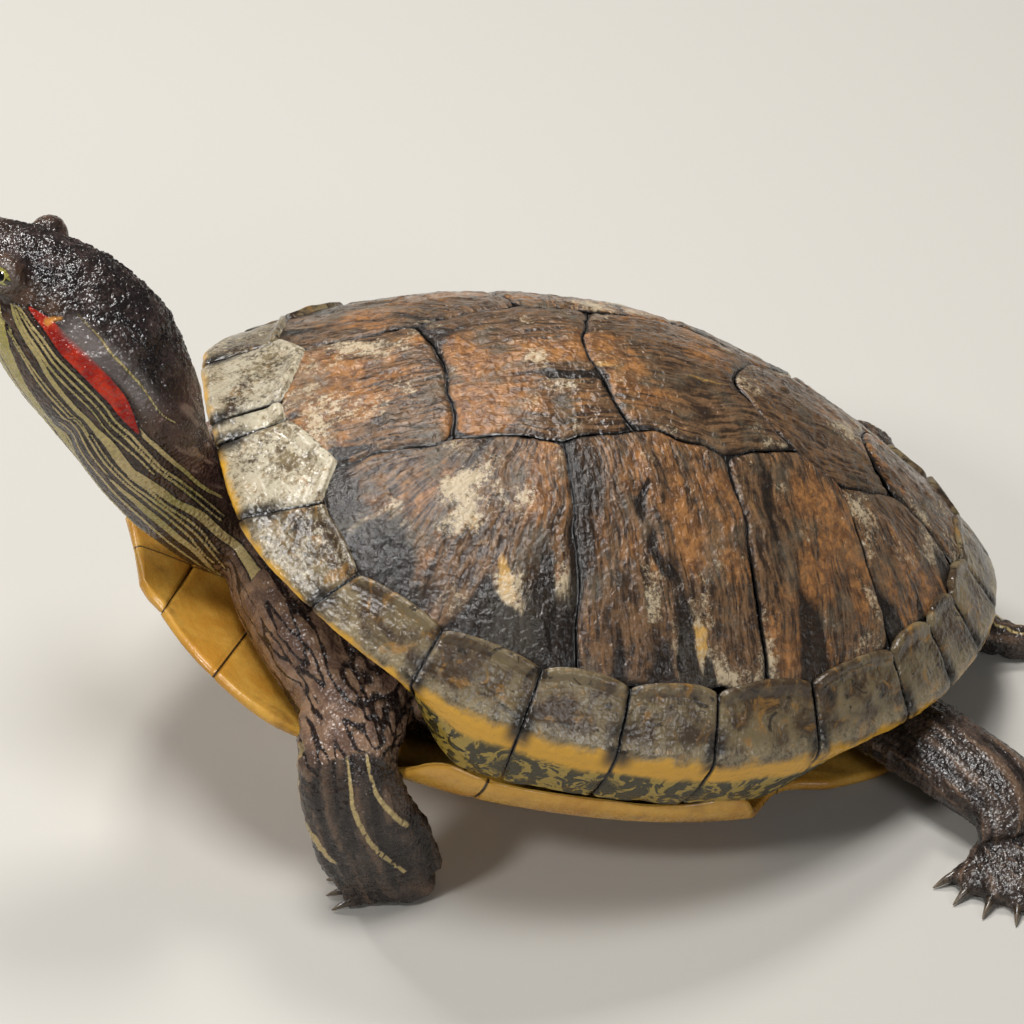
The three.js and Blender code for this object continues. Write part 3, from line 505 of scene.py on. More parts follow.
def closed_plate(name, outer, inner, fields, uv):
    """Closes a grid of outer points with an edge wall and an inner face drawn together to its middle."""
    rows, columns = outer.shape[:2]
    rim = grid_rim(rows, columns)
    count = rows * columns
    s, t = grid_coordinates(rows, columns)
    rim_s, rim_t = s.ravel()[rim], t.ravel()[rim]
    points, faces, rings = [outer.reshape(-1, 3)], [grid_faces(rows, columns)], [rim]
    for share in INNER_RINGS:
        ring = inner(0.5 + (rim_s - 0.5) * share, 0.5 + (rim_t - 0.5) * share)
        points.append(ring)
        rings.append(count + np.arange(len(rim)))
        count += len(rim)
    for outside, inside in zip(rings[:-1], rings[1:]):
        faces.append(bridge_faces(outside, inside)[:, ::-1])
    points.append(inner(np.array([0.5]), np.array([0.5])))
    last = rings[-1]
    faces.append(np.stack([np.roll(last, -1), last, np.full(len(last), count)], 1))

    def spread(values):
        return np.concatenate([values] + [values[rim]] * len(INNER_RINGS) + [values[:1]])

    fields = {field: spread(values.ravel()) for field, values in fields.items()}
    fields["edge"][rows * columns + len(rim):] = FAR_FROM_SEAM
    return make_piece(name, np.concatenate(points), faces, fields, spread(uv.reshape(-1, 2)))


# %% [markdown]
# ## Plates of the dome
#
# The five plates down the back and the four on each side. The colour is not painted on a picture: four
# numbers are kept at each point for the material to read, saying how dark, how rusty, how golden and how
# worn to pale cream the horn is there. Dark bars stand side by side towards the rim and run up the plate.

# %% Dome plates
BAR_WIDTH = 7.0


def spot(plan, x, y, long, wide, lean=0):
    """A soft-edged oval mark: 1 in its middle and 0 outside, `long` towards the rim and `wide` along."""
    side = np.sign(y) if y else 1
    dx, dy = plan[..., 0] - x, (plan[..., 1] - y) * side
    dx = dx - lean * dy
    return np.exp(-((dx / wide) ** 2 + (dy / long) ** 2) ** 1.5)


# Marks that this animal has: (kind, x, y, length across, width along, lean)
MARK_STRENGTH = {"gold": 1.0, "dark": 1.5, "rust": 0.8, "worn": 0.7}
MARKS = [("gold", 52.0, 56.0, 9.5, 2.6, -0.5), ("gold", 46.5, 65.5, 4.0, 2.6, -0.4),
         ("gold", 2.6, 55.0, 6.0, 1.7, -0.2), ("gold", -3, 72.0, 3.5, 2.0, 0),
         ("dark", 13.5, 44.0, 6.0, 1.8, 0.1), ("dark", 10.0, 56.0, 6.5, 2.2, -0.35),
         ("rust", 29.0, -5.0, 7, 13, 0), ("rust", 50.0, 20.0, 5, 14, 0),
         ("worn", 82.0, 8.0, 9, 9, 0), ("worn", 74.0, -14.0, 7, 12, 0), ("worn", 60, 42, 7, 7, 0),
         ("dark", 30.0, 8.0, 3.0, 9.0, 0), ("dark", 84, 22, 3, 8, 0)]


def dome_colours(plan, s, t, wide, edge, costal, seed):
    """The four colour numbers of a dome plate: dark, rust, gold and worn, from -1 to about 1."""
    warped = plan + 1.6 * np.stack([rough(plan, 5, seed + 1), rough(plan, 5, seed + 2)], -1)
    across = t * wide + 1.5 * rough(plan, 14, seed + 3)
    streak = np.stack([across, s * 14 + 0 * across], -1)
    if costal:
        bars = noise(streak * [1, 0.6], BAR_WIDTH, seed + 4) + 0.45 * noise(streak * [1, 0.4], 2.4, seed + 5)
        dark = 1.5 * bars - 0.62 + 0.62 * (1 - ease(s, 0.02, 0.36)) - 0.2 * ease(s, 0.5, 1)
    else:
        bars = rough(streak[..., ::-1], 9, seed + 4)
        dark = 0.8 * bars - 0.45
    dark = dark + 1.1 * np.exp(-np.maximum(edge - 0.4, 0) / 1.1) * (0.55 + 0.6 * noise(plan, 8, seed + 6))
    rust = 0.9 * rough(warped, 17, seed + 7) + 0.25 * noise(streak, 3.0, seed + 8) + 0.1
    gold = 0.7 * noise(streak * [1, 0.25], 3.4, seed + 9) + 0.5 * rough(warped, 20, seed + 10) - 0.75
    worn = rough(warped, 11, seed + 11, 4) + 0.35 * rough(plan, 40, seed + 12, 1) - 0.10
    fields = {"dark": dark, "rust": rust, "gold": gold, "worn": worn}
    for kind, x, y, long, broad, lean in MARKS:
        mark = spot(warped, x, y, long, broad, lean)
        fields[kind] = fields[kind] + MARK_STRENGTH[kind] * mark
        if kind in ("gold", "rust", "worn"):
            fields["dark"] = fields["dark"] - 1.2 * mark
    return fields


def dome_plate(name, patch, first_plate, costal, seed):
    """A dome plate: the patch's height field plus rings, rolled edges, flakes and a slow swell."""
    def size(a, b):
        return float(np.linalg.norm(np.diff(stand(under(dome_height, patch(*np.array([a, b]).T), 0)),
                                            axis=0)))
    tall, wide = size((0, 0.5), (1, 0.5)), size((0.5, 0), (0.5, 1))
    rows, columns = int(tall / DETAIL) + 2, int(wide / DETAIL) + 2
    s, t = grid_coordinates(rows, columns)

    def plan_of(s, t):
        return seam_waver(patch(mix(SEAM_GAP / tall, 1 - SEAM_GAP / tall, s),
                                mix(SEAM_GAP / wide, 1 - SEAM_GAP / wide, t)))

    plan = plan_of(s, t)
    edge = edge_distance(s, t, tall, wide)
    share = ring_share(s, t, first_plate)
    fields = dome_colours(plan, s, t, wide, edge, costal, seed)
    phase = share * min(tall, wide) / 2 / RING_SPACING + 0.35 * rough(plan, 10, seed + 13)
    rings = np.abs(phase % 1 - 0.5) * 2
    relief = -SEAM_DEPTH * np.exp(-(np.maximum(edge, 0) / SEAM_HALF_WIDTH) ** 1.3)
    ring_strength = 0.4 + 0.6 * ease(rough(plan, 12, seed + 16, 2), -0.3, 0.3)
    relief += -0.11 * rings * ease(share, 0.25, 0.8) * ring_strength
    relief += 0.35 * rough(plan, 16, seed + 14, 2) + 0.16 * rough(plan, 2.2, seed + 15, 2)
    relief += 0.13 * noise(np.stack([t * wide, s * tall * 0.15], -1), 1.5, seed + 17)
    relief += 0.2 * ease(fields["worn"], 0.0, 0.12) - 0.12 * ease(fields["dark"], 0.1, 0.4)
    base = stand(under(dome_height, plan, 0))
    outer = base + surface_normals(base, (0, 0, 1)) * (relief - PLATE_SINK)[..., None]
    uv = np.stack([t * wide, s * tall], -1)
    fields["edge"] = edge
    return closed_plate(name, outer, lambda a, b: stand(under(dome_height, plan_of(a, b), PLATE_THICKNESS)),
                        fields, uv)


pieces = {"dome": [], "rim": [], "belly": [], "skin": [], "eye": [], "claw": []}


def finished(piece, node, group):
    """Says what a plate stands for, what it rides on and which finish it takes."""
    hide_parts(node)
    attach(piece, "root")
    pieces[group].append(piece)


back_rows = [
    (ring_arc(FIRST_CORNER, -FIRST_CORNER), MIDDLE_SEAMS[0], (V1_FRONT, V1_V2)),
    (MIDDLE_SEAMS[0], MIDDLE_SEAMS[1], (V1_V2, C1_C2, V2_V3)),
    (MIDDLE_SEAMS[1], MIDDLE_SEAMS[2], (V2_V3, C2_C3, V3_V4)),
    (MIDDLE_SEAMS[2], MIDDLE_SEAMS[3], (V3_V4, C3_C4, V4_V5)),
    (MIDDLE_SEAMS[3], ring_arc(LAST_CORNER, 2 * math.pi - LAST_CORNER), (V4_V5, V5_SIDE, V5_REAR)),
]
for n, (front, rear, corners) in enumerate(back_rows, 1):
    left = polyline(*corners)
    piece = dome_plate(f"scute_vertebral_{n}", coons(front, rear, left, mirrored(left)), (0.8, 0.5), False,
                       100 * n)
    finished(piece, f"vertebral_{n}", "dome")

tops = [(V1_V2, C1_C2), (C1_C2, V2_V3, C2_C3), (C2_C3, V3_V4, C3_C4), (C3_C4, V4_V5)]
seams = [(V1_FRONT, V1_V2), (ring_point(COSTAL_ANGLES[1]), C1_C2), (ring_point(COSTAL_ANGLES[2]), C2_C3),
         (ring_point(COSTAL_ANGLES[3]), C3_C4), (V5_REAR, V5_SIDE, V4_V5)]
for word, side in (("left", 1), ("right", -1)):
    for n in range(4):
        patch = coons(ring_arc(COSTAL_ANGLES[n], COSTAL_ANGLES[n + 1]), polyline(*tops[n]),
                      polyline(*seams[n]), polyline(*seams[n + 1]))
        sided = (lambda patch, side: lambda s, t: patch(s, t) * [1, side])(patch, side)
        piece = dome_plate(f"scute_costal_{word}_{n + 1}", sided, (0.78, 0.66), True, 1000 + 100 * n + side)
        finished(piece, f"costal_{word}_{n + 1}", "dome")
print("dome plates:", len(pieces["dome"]), "after", round(time.time() - started, 1), "s")

# %% [markdown]
# ## Plates of the rim
#
# Twelve marginal plates on each side and the narrow nuchal over the neck. From the seam with the dome the
# surface comes down to the rim, turns under it and runs in: over the bridge down to the belly plates, and
# over the legs to a short wedge. Their upper edges are raised, glossy and scalloped, one bow per plate, and
# lap a little over the dome plates.

# %% Rim plates
SCALLOP, NUCHAL_SCALLOP = 0.20, 0.05
LIP = 1.3
RIM_SINK = 0.3
RIM_ROWS = 70
TOP_MM, UNROLLED_MM = 20, 22  # millimetres to one step of q: on top, and on the mean
AROUND_MM = 90  # millimetres to a radian


RIM_FLARE, FLARE_ANGLE, FLARE_SPREAD = 0.025, 0.38, 0.2


def bridge_share(x):
    """1 beside the belly, 0 over the legs."""
    return ease(x, -66, -34) * (1 - ease(x, 50, 80))


def flared(points, angle, q):
    """Moves rim points outward beside the neck: by the flare times a bell over the angle, full at the rim."""
    bell = np.exp(-((np.abs(angle) - FLARE_ANGLE) / FLARE_SPREAD) ** 2)
    grown = 1 + RIM_FLARE * bell * np.clip(q, 0, 1) ** 2
    middle = np.array([WIDEST_X, 0, 0])
    return middle + (points - middle) * np.stack([grown, grown, np.ones_like(grown)], -1)


def rim_outside(angle, q):
    """q runs 0 to 1 from the ring seam to the rim, then to 2 underneath."""
    angle, q = np.broadcast_arrays(angle, q)
    reach = np.minimum(mix(ring_reach(angle), 1, q), 1)
    top = plan_point(reach, angle)
    upper = np.concatenate([top, dome_height(top[..., 0], top[..., 1])[..., None]], -1)
    k = np.clip(q - 1, 0, 1)
    rim = plan_point(1, angle)
    share = bridge_share(rim[..., 0])
    inner = plan_point(1 - mix(0.115, 0.077, share), angle)
    height = rim_height(rim[..., 0])
    drop = height - mix(height - 4, -16.8, share)
    bulge = np.sin(math.pi * k) * share * 0.16
    plan = mix(rim, inner, k[..., None]) + (rim - inner) * bulge[..., None]
    lower = np.concatenate([plan, (height - drop * k ** mix(1, 0.9, share))[..., None]], -1)
    return flared(np.where(q[..., None] <= 1, upper, lower), angle, q)


def rim_inside(angle, q):
    """The inner face: hollow beside the belly, a thick wedge over the legs."""
    angle, q = np.broadcast_arrays(angle, q)
    rim = plan_point(1, angle)
    share = bridge_share(rim[..., 0])
    top = under(dome_height, ring_point(angle), PLATE_THICKNESS)
    inner = plan_point(1 - mix(0.05, 0.038, share), angle)
    middle = flared(np.concatenate([inner, rim_height(rim[..., 0])[..., None] + 0.5], -1), angle,
                    np.ones(angle.shape))
    foot = rim_outside(angle, np.full(angle.shape, 2.0))
    wedge = foot + [0, 0, 2.5]
    thin = np.stack([foot[..., 0] * 0.985, foot[..., 1] - np.sign(rim[..., 1]) * 3.1, foot[..., 2] + 1.3], -1)
    end = mix(wedge, thin, share[..., None])
    return np.where(q[..., None] <= 1, mix(top, middle, np.clip(q, 0, 1)[..., None]),
                    mix(middle, end, np.clip(q - 1, 0, 1)[..., None]))


def rim_plate(name, side, start, end, slants, seed, scallop=SCALLOP):
    """A rim plate between two seams, its relief laid on square to the surface."""
    def angle_at(s, q, back):
        slant = 1 - np.clip(q, 0, 1)
        return side * mix(start + back + slants[0] * slant, end - back + slants[1] * slant, s)

    back = SEAM_GAP / HALF_WIDTH
    rim_start, rim_end = (rim_outside(np.float64(side * a), np.float64(1)) for a in (start, end))
    wide = float(np.linalg.norm(rim_end - rim_start))
    t, s = grid_coordinates(RIM_ROWS, max(int(wide / DETAIL) + 2, 6))
    bow = scallop * np.clip(4 * s * (1 - s), 0, 1) ** 0.7
    q = mix(-bow, 2, t)
    base = stand(rim_outside(angle_at(s, q, back), q))
    for _ in range(3):
        base[1:-1] = (base[:-2] + 2 * base[1:-1] + base[2:]) / 4
    normals = surface_normals(base, base - stand((0, 0, 0)))
    plan = np.stack([angle_at(s, q, back) * AROUND_MM, q * UNROLLED_MM], -1)
    side_edge = np.minimum(s, 1 - s) * wide
    from_top = (q + bow) * TOP_MM
    relief = -0.75 * np.exp(-(side_edge / 0.6) ** 1.3)
    lip = LIP * ease(from_top, 0, 0.9) * (1 - ease(from_top, 2.2, 5.5)) - 0.5 * (1 - ease(from_top, 0, 0.7))
    relief = relief + lip * ease(side_edge, 0, 2.0)
    relief += 0.28 * rough(plan, 9, seed + 1, 2) + 0.05 * rough(plan, 2.2, seed + 2, 2)
    relief -= 0.12 * np.abs(((from_top / 2.0 + 0.3 * rough(plan, 8, seed + 3)) % 1) - 0.5) * 2
    relief += 0.5 * np.exp(-((q - 0.9) / 0.1) ** 2)
    outer = base + normals * (relief - RIM_SINK)[..., None]

    def inner(row_share, column_share):
        level = mix(0.04, 2, row_share)
        return stand(rim_inside(angle_at(column_share, level, back), level))

    fields = {"q": q, "seam": side_edge, "edge": np.minimum(side_edge, from_top + 0.4),
              "back": np.full(q.shape, (start + end) / 2)}
    uv = np.stack([s * wide + 40 * start, q * UNROLLED_MM], -1)
    return closed_plate(name, outer, inner, fields, uv)


for word, side in (("left", 1), ("right", -1)):
    for n in range(1, len(RIM_SEAMS)):
        piece = rim_plate(f"scute_marginal_{word}_{n}", side, RIM_SEAMS[n - 1], RIM_SEAMS[n],
                          (SEAM_SLANTS[n - 1], SEAM_SLANTS[n]), 2000 + 40 * n + 7 * side)
        finished(piece, f"marginal_{word}_{n}", "rim")
piece = rim_plate("scute_nuchal", 1, -RIM_SEAMS[0], RIM_SEAMS[0], (0, 0), 3000, NUCHAL_SCALLOP)
finished(piece, "nuchal", "rim")
print("rim plates:", len(pieces["rim"]), "after", round(time.time() - started, 1), "s")

# %% [markdown]
# ## Plates of the belly
#
# Six pairs of flat yellow plates, each pair made as one piece with a groove down the middle. The floor of
# the shell is level from the chest to the hip; the front lobe lifts towards the throat and the rear lobe
# lifts in the tilted body just enough to rest on the ground.

# %% Belly plates
BELLY_LEVEL = -32
BELLY_THICKNESS = 3.5
BRIDGE_REACH, BRIDGE_RISE, BRIDGE_START, BRIDGE_POWER = 0.923, 14, 0.637, 4.5
BRIDGE_MIN_HALF_WIDTH = 40
FRONT_LOBE = {"x": 66, "reach": 52, "rise": 11, "power": 1.4}
REAR_LOBE = {"x": -48, "reach": 50, "rise": 11, "power": 1.6}


def belly_height(x, y):
    """Flat, with both lobes and the bridges rising from it."""
    ahead = np.maximum(0, (x - FRONT_LOBE["x"]) / FRONT_LOBE["reach"])
    behind = np.maximum(0, (REAR_LOBE["x"] - x) / REAR_LOBE["reach"])
    share = np.abs(y) / np.maximum(BRIDGE_MIN_HALF_WIDTH, rim_half_width(x))
    out = np.maximum(0, share - BRIDGE_START) / (BRIDGE_REACH - BRIDGE_START)
    out = np.where((x > FRONT_LOBE["x"]) | (x < REAR_LOBE["x"]), 0, out)
    lobes = (FRONT_LOBE["rise"] * ahead ** FRONT_LOBE["power"]
             + REAR_LOBE["rise"] * behind ** REAR_LOBE["power"])
    return BELLY_LEVEL + lobes + BRIDGE_RISE * out ** BRIDGE_POWER


def bridge_edge(x):
    return x, float((BRIDGE_REACH - 0.006) * rim_half_width(x))


BELLY_PLATES = [
    ("gular", (121, 105), [(121, 14), (119.5, 19.5), (116.5, 24)]),
    ("humeral", (105, 81), [(116.5, 24), (112, 34), (105, 43.5)]),
    ("pectoral", (81, 38), [(105, 43.5), (91, 55), (67, 62), bridge_edge(56), bridge_edge(41)]),
    ("abdominal", (38, -24), [bridge_edge(41), bridge_edge(16), bridge_edge(-8), bridge_edge(-30),
                              (-47, 56)]),
    ("femoral", (-24, -66), [(-47, 56), (-64, 53), (-80, 48)]),
    ("anal", (-66, -92), [(-80, 48), (-93, 38), (-98, 20)]),
]


EDGE_STEPS = 40
BELLY_DETAIL = 0.8
NO_SEAM = 30.0
edge_corners = BELLY_PLATES[0][2][:1] + [corner for plate in BELLY_PLATES for corner in plate[2][1:]]
free_edge = smooth_line(edge_corners, EDGE_STEPS * (len(edge_corners) - 1) + 1)
SEAM_OVERLAP = 0.05
EDGE_ROUND = 0.5 * BELLY_THICKNESS


def rolled(distance):
    """How far a face has dropped towards the middle of the plate's thickness near its rounded free edge."""
    k = np.clip(1 - distance / EDGE_ROUND, 0, 1)
    return 0.92 * EDGE_ROUND * (1 - np.sqrt(1 - k * k))


def crowded(k):
    """Grid coordinates crowded together towards 0 and 1, where the surface rounds off."""
    return mix(k, 0.5 - 0.5 * np.cos(math.pi * k), 0.6)


def belly_plate(word, middle, first_corner, last_corner, seed):
    """A pair of belly plates from one side to the other: two faces that meet in a rounded free edge."""
    middle_line = polyline((middle[0], 0), (middle[1], 0))
    tall = abs(middle[0] - middle[1])
    stretch = free_edge[first_corner * EDGE_STEPS:last_corner * EDGE_STEPS + 1]
    edge_line = polyline(*stretch)
    wide = 2 * stretch[:, 1].max()
    rows, columns = int(max(tall, 24) / BELLY_DETAIL) + 2, int(wide / BELLY_DETAIL) + 3
    s, t = grid_coordinates(rows, columns)
    t = crowded(t)
    front_free, rear_free = word == "gular", word == "anal"
    s = crowded(s) if front_free or rear_free else s
    lap = SEAM_OVERLAP / tall
    run = mix(0 if front_free else -lap, 1 if rear_free else 1 + lap, s)
    plan = mix(middle_line(run), edge_line(run), np.abs(2 * t - 1)[..., None])
    plan = plan * np.stack([np.ones_like(t), np.where(t < 0.5, 1, -1)], -1)
    to_free = np.minimum(t, 1 - t) * wide
    to_seam = np.full(s.shape, NO_SEAM)
    for free, distance in ((front_free, s * tall), (rear_free, (1 - s) * tall)):
        to_free = np.minimum(to_free, distance) if free else to_free
        to_seam = to_seam if free else np.minimum(to_seam, distance)
    groove = np.exp(-(np.abs(plan[..., 1]) / 0.5) ** 1.5)
    relief = -0.5 * np.exp(-(to_seam / 0.5) ** 1.3) - 0.3 * groove + 0.12 * rough(plan, 18, seed, 2) - 0.15
    swell = 0.35 * rough(plan, 14, seed + 5, 2) - 0.45 * np.exp(-(to_seam / 0.6) ** 1.3)
    under_face = stand(under(belly_height, plan, 0))
    normals = surface_normals(under_face, (0, 0, -1))
    lower = under_face + normals * (relief - rolled(to_free))[..., None]
    lower[..., 2] = np.maximum(lower[..., 2], 0)
    upper = under_face - normals * (BELLY_THICKNESS - 0.5 + swell - rolled(to_free))[..., None]
    rim = grid_rim(rows, columns)
    faces = [grid_faces(rows, columns)[:, ::-1], grid_faces(rows, columns, rows * columns),
             bridge_faces(rim, rim + rows * columns)]
    fields = {"edge": np.tile(to_seam.ravel(), 2), "out": np.tile(np.abs(plan[..., 1]).ravel(), 2),
              "inner": np.repeat([0.0, 1.0], rows * columns)}
    return make_piece(f"scute_{word}", np.concatenate([lower.reshape(-1, 3), upper.reshape(-1, 3)]), faces,
                      fields, np.tile(plan.reshape(-1, 2), (2, 1)))


corner_count = 0
for n, (word, middle, edge) in enumerate(BELLY_PLATES):
    piece = belly_plate(word, middle, corner_count, corner_count + len(edge) - 1, 4000 + 30 * n)
    corner_count += len(edge) - 1
    finished(piece, f"plastron_{word}", "belly")
print("belly plates:", len(pieces["belly"]), "after", round(time.time() - started, 1), "s")

# %% [markdown]
# ## One skin
#
# Head, neck, legs, feet and tail are one unbroken skin on a turtle, slack enough to fold where it goes in
# under the shell. It could be sculpted, but a skin that has to sit exactly inside known solids is better
# grown from them: each part is a tube of rounded rings along a smooth line; all tubes are melted together
# by a voxel remesh; the remeshed surface is smoothed; and then folds and scales are raised on it point by
# point. The part that is hidden inside the shell is thinned out at the end.

# %% Tubes
FLESH_SHRINK = 0.975


def tube(line, across, half_widths, half_heights, sides):
    """Round rings square to a line."""
    along = unit(np.gradient(line, axis=0))
    upward = unit(np.cross(along, across))
    return rings_of(line, unit(np.cross(upward, along)), upward, half_widths, half_heights, sides)


def rings_of(line, side, upward, half_widths, half_heights, sides, power=2.0):
    """Rings of half width times cosine and half height times sine of one turn; a higher power is squarer."""
    angle = 2 * math.pi * np.arange(sides) / sides
    c, s = np.cos(angle), np.sin(angle)
    w = np.sign(c) * np.abs(c) ** (2 / power) * half_widths[:, None]
    h = np.sign(s) * np.abs(s) ** (2 / power) * half_heights[:, None]
    return line[:, None] + w[..., None] * side[..., None, :] + h[..., None] * upward[..., None, :]


def closed_tube(rings):
    """Points and faces of a tube closed with a fan at each end."""
    count, sides = rings.shape[:2]
    numbers = np.arange(count * sides).reshape(count, sides)
    quads = np.concatenate([bridge_faces(numbers[i], numbers[i + 1]) for i in range(count - 1)])
    points = np.concatenate([rings.reshape(-1, 3), rings[:1].mean(1), rings[-1:].mean(1)])
    ends = [np.stack([np.roll(numbers[0], -1), numbers[0], np.full(sides, count * sides)], 1),
            np.stack([numbers[-1], np.roll(numbers[-1], -1), np.full(sides, count * sides + 1)], 1)]
    return points, quads, np.concatenate(ends)


flesh = []  # closed tubes, to be melted together
paths = {}  # the line of each part, for working out how far along and round a point of skin is


def grow(rings):
    flesh.append(closed_tube(rings))


def grow_along(stations, across, count, sides, share=1.0):
    """Grows a tube through stations of x, y, z, half width and half height, and gives back its line."""
    rows = smooth_line(stations, count)
    line, size = rows[:, :3], rows[:, 3:] * share
    grow(tube(line, np.array(across, float), size[:, 0], size[:, 1], sides))
    return line


# %% Head and neck
HEAD_STATIONS = np.array([  # ahead of the eyes, half width, crown, throat
    (-37, 18, 9, -31.5), (-29, 18.5, 11, -32.5), (-21, 18.4, 11.6, -31.5), (-13, 17.2, 11.2, -29),
    (-6, 15.2, 9.4, -25.6), (0, 12.8, 7.6, -21.6), (6, 10.4, 5.3, -17.6), (11, 8, 2.8, -14.2),
    (14.5, 5.4, 0.2, -11), (16, 3, -2.2, -8)])
NECK_STATIONS = [  # body frame x, y, z, half width, half height
    (80, 0, -8, 15, 13), (99, 1, -6.5, 15, 12.4), (113.5, 2.5, 2.5, 15.5, 13.6),
    (124.5, 3.5, 13.6, 16.4, 15.6), (131.5, 3.6, 24.4, 17.6, 18.4)]
HEAD_POWER, NECK_POWER = 2.15, 2.1
NECK_SIDES = 56


def head_rings():
    rows = smooth_line(HEAD_STATIONS, 70)
    ahead, width, crown, throat = rows.T
    middle, half = (crown + throat) / 2, (crown - throat) / 2
    return rings_of(head_point(ahead, 0, middle), head_left, head_up, width * FLESH_SHRINK,
                    half * FLESH_SHRINK, NECK_SIDES, HEAD_POWER)


def neck_rings():
    _, width, crown, throat = HEAD_STATIONS[0]
    end = head_point(HEAD_STATIONS[0, 0] + 2, 0, (crown + throat) / 2)
    rows = [(*stand(row[:3]), *row[3:]) for row in NECK_STATIONS] + [(*end, width, (crown - throat) / 2)]
    rows = smooth_line(rows, 60)
    k = np.linspace(0, 1, len(rows))[:, None]
    along = unit(mix(unit(np.gradient(rows[:, :3], axis=0)), head_forward, k ** 4))
    side = mix(unit(turned([0, 1, 0])), head_left, k ** 1.5)
    side = unit(side - along * (side * along).sum(-1, keepdims=True))
    upward = np.cross(along, side)
    size = rows[:, 3:] * FLESH_SHRINK
    return rings_of(rows[:, :3], side, upward, size[:, 0], size[:, 1], NECK_SIDES, NECK_POWER), upward


head_grid = head_rings()
neck_grid, neck_up = neck_rings()
grow(head_grid)
grow(neck_grid)
PAD = 9.5


def throat_rings():
    """A pad under the angle of the jaw, so that the throat runs straight on into the neck."""
    ring = 3 * len(neck_grid) // len(NECK_STATIONS)
    low = neck_grid[ring].mean(0) - neck_up[ring] * NECK_STATIONS[3][4] * FLESH_SHRINK
    front = head_point(-20, 0, -31.2)
    line = smooth_line([front + head_up * PAD, mix(front, low, 0.5) + unit(head_up + neck_up[ring]) * PAD,
                        low + neck_up[ring] * PAD], 30)
    size = np.full(len(line), PAD)
    return tube(line, head_left, size * 1.35, size, 32)


grow(throat_rings())
LID_RADIUS = 5.0


def ball(middle, radius):
    """A sphere as a tube of rings from pole to pole: heights by the cosine, radii by the sine."""
    k = np.linspace(0.02, math.pi - 0.02, 24)
    line = middle + np.stack([0 * k, 0 * k, -np.cos(k) * radius], -1)
    width = np.sin(k) * radius
    return rings_of(line, np.array([1.0, 0, 0]), np.array([0, 1.0, 0]), width, width, 32)


for side in (1, -1):
    grow(ball(head_point(0, side * EYE_APART, EYE_UP), LID_RADIUS))

# %% Legs, feet and tail
FRONT_LEG = [(38, -63, 62, 14, 11), (53, -71, 58, 14, 10), (68, -77.5, 47, 12.5, 8.5),
             (72, -76, 34, 13.5, 7.5), (71, -72, 20, 15, 7), (68, -67.5, 6, 14, 6)]
HIND_LEG = [(30, 59, 17, 14, 10), (46, 70.5, 15.5, 13.5, 9.5), (62, 82, 14, 13.2, 9), (77, 91, 11.5, 12.5, 8),
            (88, 91, 7, 11, 6)]
TAIL = [(0, 74, 15, 8, 7.5), (0.5, 90, 12.5, 7.5, 7), (3, 104, 7.5, 6, 5.8), (7, 117, 3.8, 4.2, 4.2),
        (12, 129, 1.9, 2.6, 2.4), (17, 136.5, 1.1, 1, 1.0)]
FRONT_FOOT = {"length": 11, "width": 10, "height": 9, "fan": math.radians(24), "toe": 8, "thick": 2.3}
HIND_FOOT = {"length": 12, "width": 11.5, "height": 8.5, "fan": math.radians(38), "toe": 10, "thick": 2.5}
SHOULDER_SKIN = [(6, -90, 67, 12, 9), (22, -89, 65, 13, 9), (40, -84, 61, 13, 9), (57, -77, 53, 12, 8)]
TOES = 5
CLAW_LENGTH = 6.6
RIGHT_AHEAD = 5  # the right foreleg stands this much further forward
PALM_SHRINK, TAIL_SHRINK = 0.97, 0.96
UP = np.array([0, 0, 1.0])
claw_roots = []


def sided(stations, side, ahead):
    """The stations of a left limb, mirrored for the right one and moved forward."""
    return np.array(stations, float) * [side, 1, 1, 1, 1] - [0, ahead, 0, 0, 0]


def level(direction, z):
    return np.array([direction[0], direction[1], z])


def foot(middle, heading, size):
    """A palm low on the floor, five toes fanned about its heading, and a web between them."""
    forward = np.array([math.cos(heading), math.sin(heading), 0])
    across = np.array([-forward[1], forward[0], 0])
    length, width, height, toe, thick = (size[key] for key in ("length", "width", "height", "toe", "thick"))

    def place(ahead, z):
        return level(middle + forward * ahead, z)

    grow_along([(*place(-length, height * 0.5), width * 0.45, height * 0.45),
                (*place(-length * 0.55, height * 0.5), width * 0.85, height * 0.62),
                (*place(0, height * 0.46), width, height * 0.62),
                (*place(length * 0.6, height * 0.36), width, height * 0.46),
                (*place(length, height * 0.28), width * 0.85, height * 0.3)], across, 30, 32, PALM_SHRINK)
    for share in np.linspace(-1, 1, TOES):
        direction = spun(forward, UP, size["fan"] * share)
        root = place(length * 0.25, height * 0.35) + across * width * 0.62 * share
        reach = toe * (1 - 0.22 * share * share)
        grow_along([(*level(root, root[2]), thick * 1.15, thick),
                    (*level(root + direction * reach * 0.6, thick * 0.9 + 0.4), thick, thick * 0.95),
                    (*level(root + direction * reach * 0.9, thick * 0.9), thick * 0.85, thick * 0.85),
                    (*level(root + direction * (reach + 1.2), thick * 0.8), thick * 0.6, thick * 0.6)],
                   np.cross(UP, direction), 24, 20)
        claw_roots.append((level(root + direction * (reach - 0.8), thick * 0.85), direction, thick * 0.62))
    grow_along([(*place(length * 0.4, height * 0.25), width * 0.9, 1.4),
                (*place(length * 0.9, height * 0.16), width * (0.9 + 0.35 * size["fan"]), 1.0),
                (*place(length * 0.25 + toe * 0.72, 1.3), width * (0.86 + 0.5 * size["fan"]), 0.8)],
               across, 16, 48)


